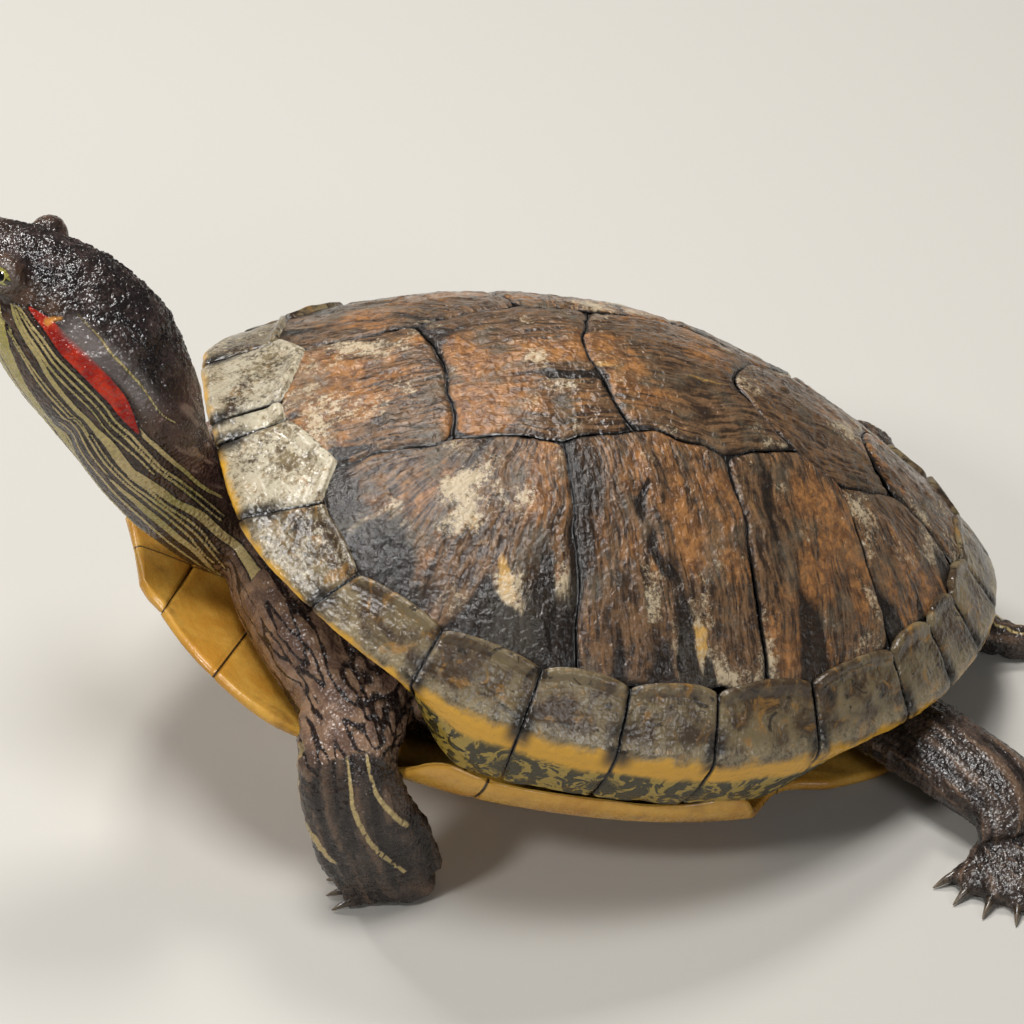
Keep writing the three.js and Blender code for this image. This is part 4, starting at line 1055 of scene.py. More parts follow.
sides = (("left", 1, 0, math.radians(38)), ("right", -1, RIGHT_AHEAD, math.radians(28)))
for word, side, ahead, turn in sides:
    paths[f"front_{word}"] = grow_along(sided(FRONT_LEG, side, ahead), (0, 1, 0), 50, 40, FLESH_SHRINK)
    foot(np.array([side * 65, -67 - ahead, 0]), math.atan2(-1, side * -0.3), FRONT_FOOT)
    paths[f"hind_{word}"] = grow_along(sided(HIND_LEG, side, 0), (-0.5 * side, 0.8, 0), 50, 40, FLESH_SHRINK)
    foot(np.array([side * 92, 88, 0]), math.atan2(-math.sin(turn), side * math.cos(turn)), HIND_FOOT)
paths["tail"] = grow_along(TAIL, (1, 0, 0), 60, 32, TAIL_SHRINK)
for word, side, ahead, turn in sides:
    grow_along(sided(SHOULDER_SKIN, side, ahead), UP, 30, 32)

# %% The trunk, which the shell hides
TRUNK_LEVELS = ((0.3, 4.6, 0), (0.56, 5.2, 0), (0.75, 6.6, 0), (0.81, 6, 0.35))


def trunk_rings():
    """Rings inside the shell: under the dome, round the sides, and over the belly plates."""
    angle = 2 * math.pi * np.arange(40) / 40
    rings = []
    for reach, depth, sink in TRUNK_LEVELS:
        plan = plan_point(reach, angle)
        height = mix(dome_height(plan[:, 0], plan[:, 1]) - depth, 0, sink)
        rings.append(np.column_stack([plan, height]))
    for reach, share in ((0.81, 0.55), (0.71, 1), (0.4, 1)):
        plan = plan_point(reach, angle)
        base = belly_height(plan[:, 0], 0 * plan[:, 0]) + BELLY_THICKNESS + 1.4
        rings.append(np.column_stack([plan, base * share]))
    return stand(np.array(rings))


grow(trunk_rings())
print("tubes of flesh:", len(flesh))

# %% Melting the tubes into one skin
VOXEL = 1.18


def applied(mesh, kind, hidden=None, **settings):
    """The mesh as one modifier leaves it. Points told to be hidden go into a group of that name."""
    lump = placed("lump", mesh)
    if hidden is not None:
        lump.vertex_groups.new(name="hidden").add(np.flatnonzero(hidden).tolist(), 1.0, "REPLACE")
    modifier = lump.modifiers.new("change", kind)
    for key, value in settings.items():
        setattr(modifier, key, value)
    result = bpy.data.meshes.new_from_object(lump.evaluated_get(bpy.context.evaluated_depsgraph_get()))
    bpy.data.objects.remove(lump)
    return result


def melted():
    """All tubes turned outward, joined and remeshed to even squares of one voxel."""
    offset, points, quads, triangles = 0, [], [], []
    for tube_points, *tube_faces in flesh:
        corners = [tube_points[f] for f in tube_faces]
        volume = sum((c[:, 0] * np.cross(c[:, i], c[:, i + 1])).sum() for c in corners
                     for i in range(1, c.shape[1] - 1))
        for kept, f in zip((quads, triangles), tube_faces):
            kept += (f[:, ::-1 if volume < 0 else 1] + offset).tolist()
        points.append(tube_points)
        offset += len(tube_points)
    mesh = bpy.data.meshes.new("flesh")
    mesh.from_pydata(np.concatenate(points), [], quads + triangles)
    return applied(mesh, "REMESH", mode="VOXEL", voxel_size=VOXEL)


def read_mesh(items, key, width, kind):
    """An array of the values that a mesh keeps for each of its points, edges or faces."""
    values = np.zeros(len(items) * width, kind)
    items.foreach_get(key, values)
    return values.reshape(-1, width)


def mesh_arrays(mesh):
    """Points and edges of a mesh as arrays."""
    return (read_mesh(mesh.vertices, "co", 3, np.float32).astype(float),
            read_mesh(mesh.edges, "vertices", 2, np.int32))


def relaxed(points, edges, rounds, amount=0.5):
    """Each point moved towards the mean of its neighbours, then pushed back, so the shape doesn't shrink."""
    count = np.bincount(edges.ravel(), minlength=len(points))[:, None]
    for step in (amount, -amount * 1.04) * rounds:
        total = np.stack([np.bincount(edges[:, 0], points[edges[:, 1], axis], len(points))
                          + np.bincount(edges[:, 1], points[edges[:, 0], axis], len(points))
                          for axis in range(3)], -1)
        points = points + (total / count - points) * step
    return points


skin_mesh = melted()
print("melted skin:", len(skin_mesh.vertices), "points after", round(time.time() - started, 1), "s")
points, edges = mesh_arrays(skin_mesh)
points = relaxed(points, edges, 10)
skin_mesh.vertices.foreach_set("co", points.astype(np.float32).ravel())
print("relaxed after", round(time.time() - started, 1), "s")

# %% [markdown]
# ## How far along and how far round
#
# Stripes, scales and folds on an animal follow its limbs. So every point of the skin is given a place on
# the nearest limb: how far along its middle line it is, and how far round it. The middle line is smoothed
# first, because where the neck bends up into the head a kinked line would bend the stripes with it.

# %% Places on head, neck, legs and tail
FRAME_STEP = 1.0


def evenly(line):
    """The same line with points an even step apart."""
    length = np.concatenate([[0], np.cumsum(np.linalg.norm(np.diff(line, axis=0), axis=1))])
    at = np.arange(0, length[-1], FRAME_STEP)
    return np.stack([np.interp(at, length, line[:, k]) for k in range(line.shape[1])], -1)


def smoothed(line, reach):
    """A moving average over `reach` points, with the ends carried straight on."""
    before = line[0] + (line[0] - line[1]) * np.arange(reach, 0, -1)[:, None]
    after = line[-1] + (line[-1] - line[-2]) * np.arange(1, reach + 1)[:, None]
    padded = np.vstack([before, line, after])
    window = np.hanning(reach + 2)[1:-1]
    window = window / window.sum()
    full = np.stack([np.convolve(padded[:, k], window, "same") for k in range(3)], -1)
    return full[reach:-reach]


def place_on(points, axis, left):
    """Distance along an axis, angle round it (0 is left, a quarter turn is up) and distance from it."""
    tangent = unit(np.gradient(axis, axis=0))
    near = np.zeros(len(points), int)
    best = np.full(len(points), np.inf)
    for i, spot in enumerate(axis):
        away = ((points - spot) ** 2).sum(-1)
        nearer = away < best
        near[nearer] = i
        best[nearer] = away[nearer]
    offset = ((points - axis[near]) * tangent[near]).sum(-1)
    along = near * FRAME_STEP + np.clip(offset, -8, 8)
    at = np.clip(along / FRAME_STEP, 0, len(axis) - 1)

    def read(values):
        low = np.minimum(at.astype(int), len(axis) - 2)
        return mix(values[low], values[low + 1], (at - low)[:, None])

    forward = unit(read(tangent))
    side = read(np.broadcast_to(left, axis.shape))
    side = unit(side - forward * (side * forward).sum(-1, keepdims=True))
    upward = np.cross(side, forward)
    reach = points - read(axis)
    return along, np.arctan2((reach * upward).sum(-1), (reach * side).sum(-1)), np.linalg.norm(reach, axis=-1)


axis_points = np.vstack([head_grid.mean(1)[::-1], neck_grid.mean(1)[::-1][1:]])
head_axis = smoothed(evenly(axis_points), 22)
EYES_ALONG = float(np.argmin(np.abs((head_axis - eyes_middle) @ head_forward)) * FRAME_STEP)
turning = ease(np.arange(len(head_axis)) * FRAME_STEP - EYES_ALONG, 20, 80)[:, None]
head_lefts = mix(head_left, unit(turned([0, 1, 0])), turning)


def place_on_head(points):
    """Place along the head and neck, counted back from the eyes, the angle round and the distance out."""
    along, round_it, out = place_on(points, head_axis, head_lefts)
    return along - EYES_ALONG, round_it, out


# %% [markdown]
# ## Where the skin needs points
#
# The trunk inside the shell is never seen, so its squares are merged into a few large ones. The head and
# the visible neck carry the finest scales and the narrowest stripes, so their squares are split in four.

# %% Thinning the trunk, refining the head
TRUNK_SHARE = 0.02
TRUNK_REACH = 0.78
HEAD_END = 97.0
REFINED_OUT = 28
NECK_START = -70
ROUNDER_PLAN = 2.1


def inside_shell(points):
    """Yes for points under the dome that lie well inside its outline: standing frame back to body frame."""
    up = points[:, 2] - SHELL_LIFT
    x = -points[:, 1] * math.cos(SHELL_PITCH) + up * math.sin(SHELL_PITCH)
    z = points[:, 1] * math.sin(SHELL_PITCH) + up * math.cos(SHELL_PITCH)
    _, length = half_outline(x > WIDEST_X)
    out = np.abs((x - WIDEST_X) / length) ** ROUNDER_PLAN + np.abs(points[:, 0] / HALF_WIDTH) ** ROUNDER_PLAN
    return (out ** (1 / ROUNDER_PLAN) < TRUNK_REACH) & (z > BELLY_LEVEL)


def split_squares(mesh, wanted):
    """Splits the faces round the wanted points in four."""
    work = bmesh.new()
    work.from_mesh(mesh)
    work.edges.ensure_lookup_table()
    edges = [work.edges[int(i)] for i in np.flatnonzero(wanted[mesh_arrays(mesh)[1]].all(1))]
    bmesh.ops.subdivide_edges(work, edges=edges, cuts=1, use_grid_fill=True)
    work.to_mesh(mesh)
    work.free()


along, _, out = place_on_head(points)
hidden = inside_shell(points) & ~((along < 98) & (out < 24) & (points[:, 1] < NECK_START))
skin_mesh = applied(skin_mesh, "DECIMATE", hidden, vertex_group="hidden", vertex_group_factor=1000,
                    ratio=1 - hidden.mean() * (1 - TRUNK_SHARE))
points, edges = mesh_arrays(skin_mesh)
along, _, out = place_on_head(points)
split_squares(skin_mesh, (along < HEAD_END) & (out < REFINED_OUT) & (points[:, 1] < NECK_START))
points, edges = mesh_arrays(skin_mesh)
points = np.where(inside_shell(points)[:, None], points, relaxed(points, edges, 3))
print("skin after thinning and refining:", len(points), "points,", len(skin_mesh.polygons), "faces")

# %% [markdown]
# ## What lies where on the skin
#
# Every colour border on the skin is kept as a distance in millimetres, positive inside, so the material can
# draw it sharply between the points. The stripes are lines on the unrolled neck: distance back from the
# eyes against the angle round from the side, which is the same for both cheeks.

# %% Stripes of head and neck
DEGREE = 0.33  # millimetres of skin to a degree round the neck
OUTSIDE = -3.0

# Each stripe: places (back from the eyes, degrees up from the side, half width).
STRIPES = [
    [(42, 19, .4), (47, 22, .5), (51, 27, .6), (56, 31.5, .6), (64, 34, .6), (71, 37, .6), (78, 43, .4)],
    [(6, 19, .2), (13, 16, .3), (22, 12.5, .35), (31, 9, .3), (40, 7, .3), (46, 13, .35), (54, 19, .35),
     (62, 24, .35), (72, 28, .3), (82, 29, .25)],
    [(5, 17, .2), (11, 13.5, .3), (20, 8.5, .35), (30, 3.5, .3), (40, 1.5, .3), (47, 9, .4), (55, 15.5, .4),
     (63, 20, .35), (72, 22.5, .3), (82, 24, .25)],
    [(5, 15, .2), (9, 10, .4), (16, 5.5, .45), (24, .5, .35), (33, -3.5, .25), (42, -4, .25), (50, 6, .3),
     (56, 11, .25)],
    [(4, 14, .3), (7, 8, .5), (12, 4, .6), (18, 0, .65), (23, -5.5, .75), (31, -13, .7), (37, -15.5, .8),
     (42, -14, 1.0), (46, -9, 1.5), (50, -7.5, 1.6), (54, -6, 1.5), (57, .5, 1.5), (61, 4.5, 1.3),
     (67, 7, 1.1), (72, 12, 1.3), (77, 14.5, 1.5), (84, 13.5, 1.4), (91, 11, 1.2), (99, 5, .8)],
    [(55, -10, .3), (60, -3, .4), (67, -1, .4), (74, 3, .4), (81, 2.5, .4), (88, -4, .3)],
    [(44, -20, .25), (51, -17, .3), (57, -13, .4), (62, -7.5, .45), (70, -4, .45), (79, -3, .4),
     (86, -7, .4), (93, -18, .3)],
    [(8, -8, .2), (16, -13, .3), (26, -21, .35), (36, -27, .35), (46, -24, .35), (55, -20, .4),
     (61, -13.5, .45), (69, -10.5, .45), (79, -10, .4), (90, -19, .35)],
    [(7, -5, .2), (14, -9, .25), (24, -15, .25), (34, -22, .25), (44, -23, .2)],
    [(56, -29, .5), (62, -22.5, 1.0), (69, -20, 1.2), (76, -19, 1.1), (83, -19, 1.0), (89, -25, .8),
     (94, -35, .6)],
    [(28, -28, .3), (36, -33, .4), (46, -31, .35), (54, -28, .3)],
    [(38, -46, .4), (50, -42, .5), (60, -36, .6), (72, -32, .6), (86, -33, .6), (96, -42, .5)],
    [(8, -60, .4), (30, -64, .5), (60, -55, .6), (90, -54, .5)],
    [(17, 48.5, .1), (20, 48, .2), (25, 46.5, .25), (30, 42.5, .3), (37, 41, .3), (43, 44, .25),
     (47, 50, .15)],
]
RED_PATCH = [(8, 26, .5), (13, 26.5, 1.5), (20, 25.5, 2.2), (28, 23, 2.5), (35, 19.5, 2.3), (40, 17.5, 1.7),
             (45, 18, .4)]
RED_NOTCH = [(13, 28, 1.0), (13.6, 33, .6), (15, 38, .3)]
THROAT_LINES = [  # dark lines drawn over the yellow of chin and throat
    [(-12, -36, .2), (0, -36, .35), (14, -42, .45), (30, -58, .5), (46, -70, .5), (70, -74, .4),
     (100, -78, .4)],
    [(-8, -52, .2), (4, -52, .4), (18, -58, .5), (32, -72, .5), (48, -82, .4), (60, -86, .3)],
    [(-6, -70, .2), (6, -70, .35), (20, -76, .4), (30, -84, .3)],
    [(56, -63, .3), (72, -62, .5), (90, -66, .5), (104, -70, .4)],
]
THROAT_BAND = [(-16, -20, 0), (2, 2, 0), (7, -9, 0), (11, -18, 0), (16, -26, 0), (22, -35, 0), (29, -46, 0),
               (36, -56, 0), (44, -60, 0), (60, -66, 0), (110, -76, 0)]


def stretches(line, widths, place):
    """For each stretch of a line: how far the points are from it, and its half width at the nearest spot."""
    for a, b, wa, wb in zip(line[:-1], line[1:], widths[:-1], widths[1:]):
        k = np.clip(((place - a) @ (b - a)) / max(((b - a) ** 2).sum(), 1e-9), 0, 1)
        yield np.linalg.norm(place - a - k[:, None] * (b - a), axis=-1), mix(wa, wb, k)


def inside_line(rows, place):
    """Millimetres inside a stripe of the unrolled head and neck, negative outside it."""
    line = smooth_line(rows, 6 * len(rows))
    best, width = np.full(len(place), np.inf), 0
    for away, width_here in stretches(line[:, :2] * [1, DEGREE], line[:, 2], place):
        width = np.where(away < best, width_here, width)
        best = np.minimum(best, away)
    return width - best


along, round_it, out = place_on_head(points)
on_head = (points[:, 1] < -62) & (out < 27) & (along < 104)
degrees = np.degrees(np.arcsin(np.clip(np.sin(round_it), -1, 1)))
place = np.stack([along, degrees * DEGREE], -1)
wave = 0.35 * np.stack([noise(points, 6, 501), noise(points, 6, 502)], -1)
near_place = (place + wave)[on_head]


def on_head_only(values, elsewhere=OUTSIDE):
    full = np.full(len(points), elsewhere)
    full[on_head] = values
    return full


stripes = [inside_line(rows, near_place) for rows in STRIPES]
fields = {"pale": on_head_only(np.max(stripes, 0)),
          "red": on_head_only(inside_line(RED_PATCH, near_place)),
          "notch": on_head_only(inside_line(RED_NOTCH, near_place))}
band_edge = np.interp(near_place[:, 0], [row[0] for row in THROAT_BAND], [row[1] for row in THROAT_BAND])
throat_lines = np.max([inside_line(rows, near_place) for rows in THROAT_LINES], 0)
fields["band"] = on_head_only(np.minimum(band_edge * DEGREE - near_place[:, 1], -throat_lines))
head_share = on_head_only(1 - ease(near_place[:, 0], 86, 100), 0.0)
fields["crown"] = head_share * ease(degrees, 40, 54) * (1 - ease(along, 36, 44)) * ease(along, -16, -6)
fields["cheek"] = (head_share * ease(degrees, 27, 33) * (1 - ease(degrees, 46, 54)) * ease(along, 14, 20)
                   * (1 - ease(along, 38, 46)))
fields["nape"] = head_share * ease(degrees, 30, 42) * ease(along, 36, 46)
slant = np.stack([along * 0.25, (degrees - 1.5 * along) * DEGREE * 0.8], -1)
fields["streak"] = fields["nape"] * (0.5 + 0.5 * noise(np.where(on_head[:, None], slant, 0), 1.3, 511))
print("stripes:", len(STRIPES), "after", round(time.time() - started, 1), "s")

# %% [markdown]
# ## Eyelids, mouth and ear
#
# Each eye sits in a round bulge of lids. The opening between the lids is an almond pressed into the bulge
# until it is behind the surface of the eyeball, with a thickened edge round it and creases outside that.
# The mouth is a groove from the snout back to the corner of the jaw, the nostrils are two small pits, and
# the ear is a flat oval behind the jaw.

# %% Relief of the head
EYEBALL = 4.45
LID_OPENING = (44, 27)  # half width and half height of the opening, in degrees round the eyeball
MOUTH_LINE = ((20, -7.6), (4, -10.6), (-9.5, -9.2))
EAR = (-24, 3.2, 6.2, 5.0)  # ahead of the eyes, up, half length, half height
NOSTRIL = (15.5, 1.6, -3.4)  # ahead of the eyes, to the side, up
LID_FULLNESS = 1.7


def eye_frame(side):
    """Middle of an eye, the way it looks, and that turned a quarter forward and upward."""
    middle = head_point(0, side * EYE_APART, EYE_UP)
    looks = unit(0.93 * side * head_left + 0.26 * head_forward + 0.24 * head_up)
    ahead = unit(head_forward - looks * (head_forward @ looks))
    return middle, looks, ahead, np.cross(ahead, looks) * -side


fields["lid"] = np.full(len(points), -9.0)
for side in (1, -1):
    middle, looks, ahead, upward = eye_frame(side)
    distance = np.linalg.norm(points - middle, axis=-1)
    toward = (points - middle) / np.maximum(distance, 1e-6)[:, None]
    facing = toward @ looks
    angles = [np.degrees(np.arctan2(toward @ way, np.maximum(facing, 0.02))) for way in (ahead, upward)]
    shape = sum((np.abs(angle) / size) ** LID_FULLNESS for angle, size in zip(angles, LID_OPENING))
    near_eye = (distance < 7.5) & (facing > 0.1)
    inside_mm = np.where(near_eye, (1 - shape ** (1 / LID_FULLNESS)) * 2.6, -9)
    fields["lid"] = np.maximum(fields["lid"], inside_mm)
    creases = (np.sin(inside_mm * 2 * math.pi / 0.8) * ease(inside_mm, -3.2, -1.2)
               * (1 - ease(inside_mm, -0.8, -0.4)))
    lid = 0.28 * np.exp(-((inside_mm + 0.45) / 0.4) ** 2) + 0.07 * creases
    target = mix(distance + lid, EYEBALL - 0.75, ease(inside_mm, -0.15, 0.3) * near_eye)
    points = np.where(near_eye[:, None], middle + toward * target[:, None], points)
fields["lid"] = ease(fields["lid"], -3.0, -1.6) * on_head

ahead, left, up = ((points - eyes_middle) @ way for way in (head_forward, head_left, head_up))
k = np.linspace(0, 1, 40)[:, None]
mouth = (1 - k) ** 2 * MOUTH_LINE[0] + 2 * k * (1 - k) * MOUTH_LINE[1] + k ** 2 * MOUTH_LINE[2]
from_mouth = up - np.interp(ahead, mouth[::-1, 0], mouth[::-1, 1])
at_mouth = on_head * ease(ahead, -10, -8.5)
skin_mesh.vertices.foreach_set("co", points.astype(np.float32).ravel())
skin_mesh.update()
normals = read_mesh(skin_mesh.vertices, "normal", 3, np.float32).astype(float)
relief = -0.75 * at_mouth * np.exp(-(from_mouth / 0.42) ** 2)
relief += 0.25 * at_mouth * np.exp(-((from_mouth - 1.3) / 0.9) ** 2)
fields["horn"] = on_head * ease(ahead, 5, 11) * ease(from_mouth, -4.5, -3) * (1 - ease(from_mouth, 5.5, 8))
fields["nostril"] = np.zeros(len(points))
for side in (1, -1):
    nostril = np.sqrt((left - side * NOSTRIL[1]) ** 2 + (up - NOSTRIL[2]) ** 2
                      + (ahead - NOSTRIL[0]) ** 2 * 0.3)
    relief -= 1.3 * np.exp(-(nostril / 0.8) ** 2) * on_head
    fields["nostril"] += np.exp(-(nostril / 0.75) ** 2) * on_head
ear = np.sqrt(((ahead - EAR[0]) / EAR[2]) ** 2 + ((up - EAR[1]) / EAR[3]) ** 2)
on_cheek = on_head * (np.abs(left) > 9)
relief += on_cheek * (-0.45 * (1 - ease(ear, 0.75, 1.0)) + 0.12 * np.exp(-((ear - 1.12) / 0.1) ** 2))

# %% [markdown]
# ## Scales and folds
#
# The skin of a slider is smooth and glossy on the crown, where it is drawn up in fine bumps, granular on
# the neck, and scaly on the legs: fine inside the bend, broad overlapping plates along the front edge of
# the forearm and over the toes. The bumps are cells of random seeds, flat-topped with narrow grooves.

# %% Legs: places, stripes and slack skin
LEFT = np.array([0.0, 1.0, 0])


def scaly(points, size, seed, groove=0.3):
    """Flat-topped cells: 1 on a scale and 0 in the groove between two, from the two nearest seeds."""
    first, second, label = cells(points, size, seed)
    return ease(second - first, 0, groove * size) * (0.75 + 0.5 * label)


def limb_places(points, name):
    """Places along and round a leg or the tail, and the distance from its line."""
    left = np.array([1.0, 0, 0]) if name == "tail" else LEFT
    return place_on(points, smoothed(evenly(paths[name]), 6), left)


limbs = np.stack([limb_places(points, name) for name in paths])
limb_along, limb_round, limb_reach = limbs[limbs[:, 2].argmin(0), :, np.arange(len(points))].T
limb_near = (limb_reach < 24) & ~on_head & (points[:, 2] < 70)
fields["limb"] = limb_near.astype(float)
lengthwise = np.stack([limb_along * 0.10, limb_round * np.minimum(limb_reach, 14)], -1)
fields["lines"] = noise(lengthwise + 0.5 * noise(points, 7, 611)[:, None], 1.7, 612)

# Stripes down the left foreleg in the body frame, with their half widths; the right one has the same.
FORELEG_STRIPES = [
    [(83.6, 66.9, -21, .5), (84.2, 68.6, -28.1, .9), (80.1, 70.8, -41.2, 1.0), (76.5, 75, -46.6, .9),
     (70.4, 75.7, -52, .5)],
    [(77.1, 70.2, -16.8, .4), (74.7, 75.2, -24.5, .55), (70.8, 78.6, -33.3, .75), (62.8, 78.7, -43.9, .9),
     (52.3, 75.8, -52.7, .5)],
    [(72.2, 72.2, -18, .4), (67.2, 77.4, -27.7, .6), (56.5, 76.9, -37.4, .5)],
]
LEG_RADIUS = 11.0
HINDLEG_STRIPES = ((2.2, .5), (1.3, .35))  # angle round the leg, half width


front_limb = limb_near & (points[:, 1] < 0)
spots = points[front_limb]
spots = spots + 0.5 * np.stack([noise(spots, 5, seed) for seed in (613, 614, 615)], -1)
spots = np.where(spots[:, :1] > 0, spots, spots * [-1, 1, 1] + [0, RIGHT_AHEAD, 0])
spot_along, spot_round, _ = limb_places(spots, "front_left")
inside = [np.full(len(spots), OUTSIDE)]
for rows in FORELEG_STRIPES:
    rows = np.array(rows)
    line_along, line_round, _ = limb_places(stand(rows[:, :3]), "front_left")
    line_round = np.unwrap(line_round)
    middle = line_round.mean()
    path = np.column_stack([line_along, (line_round - middle) * LEG_RADIUS, rows[:, 3]])
    line = smooth_line(path, 8 * len(rows))
    turn = (spot_round - middle + math.pi) % (2 * math.pi) - math.pi
    unrolled = np.stack([spot_along, turn * LEG_RADIUS], -1)
    inside += [width - away for away, width in stretches(line[:, :2], line[:, 2], unrolled)]
limb_pale = np.full(len(points), OUTSIDE)
limb_pale[front_limb] = np.max(inside, 0)
hind_limb = limb_near & (points[:, 1] > 0)
for angle, half_width in HINDLEG_STRIPES:
    turn = limb_round - angle - 0.25 * noise(np.stack([limb_along, 0 * limb_along], -1), 14, 616)
    away = np.abs((turn + math.pi) % (2 * math.pi) - math.pi) * limb_reach
    limb_pale = np.where(hind_limb, np.maximum(limb_pale, half_width - away), limb_pale)
fields["limb_pale"] = limb_pale

# Slack skin between neck and foreleg: dark lines that run from one to the other on a pinkish ground.
slack_start, slack_end = (np.array(SHOULDER_SKIN[n][:3], float) for n in (0, -1))
slack_way = unit(slack_end - slack_start)
folded = np.column_stack([np.abs(points[:, 0]), points[:, 1:]])
slack_along = (folded - slack_start) @ slack_way
drawn_out = folded - 0.88 * slack_along[:, None] * slack_way
fields["net"] = noise(drawn_out + 0.8 * noise(points, 6, 617)[:, None], 1.9, 618)
by_shoulder = (points[:, 1] < -58) * (folded[:, 0] < 74) * np.where(on_head, ease(along, 84, 100), 1)
fields["shoulder"] = by_shoulder * ease(points[:, 2] + 7 * noise(drawn_out, 5, 619), 40, 56)
below = slack_start[2] + slack_along * slack_way[2] - points[:, 2]
fields["fold"] = by_shoulder * ease(below, 2, 8) * (1 - ease(slack_along, 22, 40))

# %% Relief of the skin
crown_bumps = scaly(points, 1.5, 601, 0.5)
grains = scaly(points, 1.5, 602, 0.4)
scales = scaly(points * [1, 1, 0.8], 2.6, 603, 0.22)
relief += fields["crown"] * (0.45 * crown_bumps + 0.40 * rough(points, 3.6, 604, 2) - 0.35)
plain_skin = on_head * (1 - fields["crown"]) * (1 - fields["lid"]) * (1 - fields["horn"])
relief += plain_skin * (0.10 * grains - 0.06)
relief += 0.16 * ease(fields["pale"], -0.3, 0.4) * (1 - fields["cheek"])
fold_line = np.stack([along * 0.35, degrees * DEGREE], -1)
relief += on_head * ease(along, 30, 60) * 0.35 * rough(np.where(on_head[:, None], fold_line, 0), 5.5, 605, 2)
relief += fields["nape"] * 0.30 * (fields["streak"] - 0.5)
relief += limb_near * (0.34 * scales - 0.2 + 0.35 * rough(points, 9, 606, 2))
crossing = np.sin(limb_along * 2 * math.pi / 4.2 + 2.2 * noise(points, 9, 607))
relief += limb_near * 0.28 * crossing * ease(noise(points, 14, 608), -0.1, 0.4)
relief += limb_near * (0.35 * fields["lines"] + 0.25 * ease(limb_pale, -0.6, 0.2))
relief += fields["shoulder"] * 0.5 * np.minimum(np.abs(fields["net"]) * 3, 1)
points = points + normals * relief[:, None]
points[:, 2] = np.maximum(points[:, 2], 0.02)
skin_mesh.vertices.foreach_set("co", ((points + SHIFT) * MM).astype(np.float32).ravel())
skin_mesh.name = "skin"
skin_mesh.polygons.foreach_set("use_smooth", np.ones(len(skin_mesh.polygons), bool))
keep_fields(skin_mesh, fields)
skin = placed("skin", skin_mesh)
flesh_nodes = ["trunk", "neck", "head", "lower_jaw", "tail"]
flesh_nodes += [f"{kind}_{pair}_{word}" for kind in ("leg", "foot") for pair in ("front", "hind")
                for word in ("left", "right")]
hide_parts(*flesh_nodes)
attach(skin, "root")
pieces["skin"].append(skin)
counts = read_mesh(skin_mesh.polygons, "loop_total", 1, np.int32)
print("skin:", int((counts - 2).sum()), "triangles after", round(time.time() - started, 1), "s")

# %% [markdown]
# ## Eyes and claws
#
# An eyeball is a sphere with a slightly bulged clear front. It could carry a modelled pupil, but under a
# wet cornea only colour shows: a black pupil, a yellow-green iris and the dark bar that runs through both.
# So the mesh keeps the angle from the line of sight and the height on the eye for the material to read.

# %% Eyeballs
EYE_RINGS = 60


def eyeball(word, side):
    """A sphere of rings about the way the eye looks, bulged by a bell of the angle from it."""
    middle, looks, ahead, upward = eye_frame(side)
    polar = np.linspace(0.01, math.pi - 0.01, EYE_RINGS)
    radius = EYEBALL * (1 + 0.035 * np.exp(-(polar / math.radians(30)) ** 2))
    line = middle + looks * (np.cos(polar) * radius)[:, None]
    across = np.sin(polar) * radius
    eye_points, quads, ends = closed_tube(rings_of(line, ahead, upward, across, across, 72))
    toward = unit(eye_points - middle)
    eye_fields = {"polar": np.degrees(np.arccos(np.clip(toward @ looks, -1, 1))),
                  "height": (eye_points - middle) @ upward,
                  "round": np.arctan2(toward @ upward, toward @ ahead)}
    piece = make_piece(f"eyeball_{word}", eye_points, [quads, ends], eye_fields)
    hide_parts(f"eye_{word}")
    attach(piece, "root")
    pieces["eye"].append(piece)


eyeball("left", 1)
eyeball("right", -1)

# %% [markdown]
# A claw grows out of the end of each toe: a cone of horn, deeper than it is wide, that curves down to the
# ground. The five claws of a foot are one piece.

# %% Claws
FEET_IN_ORDER = ("front_left", "hind_left", "front_right", "hind_right")
CLAW_TIP_HEIGHT, CLAW_FLOOR = 0.55, 0.05


def claw_rings(root, direction, radius):
    """Rings along a line that falls by the power 1.6 of the way out and thins by the power 0.8 of the rest."""
    k = np.linspace(0, 1, 22)
    line = root + k[:, None] * CLAW_LENGTH * direction
    line[:, 2] = mix(root[2] + 0.25 * np.sin(k * math.pi), CLAW_TIP_HEIGHT, k ** 1.6)
    size = radius * (1 - k) ** 0.8 + 0.14
    return tube(line, np.cross(UP, direction), size * 0.85, size, 18)


for n, foot_name in enumerate(FEET_IN_ORDER):
    claw_points, claw_faces, along_claw = [], [], []
    for root, direction, radius in claw_roots[TOES * n:TOES * (n + 1)]:
        one_points, *one_faces = closed_tube(claw_rings(root, direction, radius))
        one_points[:, 2] = np.maximum(one_points[:, 2], CLAW_FLOOR)
        claw_faces += [faces + len(one_points) * len(claw_points) for faces in one_faces]
        claw_points.append(one_points)
        along_claw.append(((one_points - root) @ direction) / CLAW_LENGTH)
    piece = make_piece(f"claws_{foot_name}", np.concatenate(claw_points), claw_faces,
                       {"out": np.concatenate(along_claw)})
    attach(piece, "root")
    pieces["claw"].append(piece)
print("eyes and claws after", round(time.time() - started, 1), "s")

# %% [markdown]
# ## Colour and gloss
#
# Nothing is painted from a picture. Each material reads the numbers kept on the surface - how worn, how
# dark, how far inside a stripe - adds its own fine noise, and lays one colour over another, the way
# pigment, wear and dirt lie in horn. The animal is wet: water fills the finest roughness, so the gloss is
# high but uneven, and a fine bump breaks it into small glints.

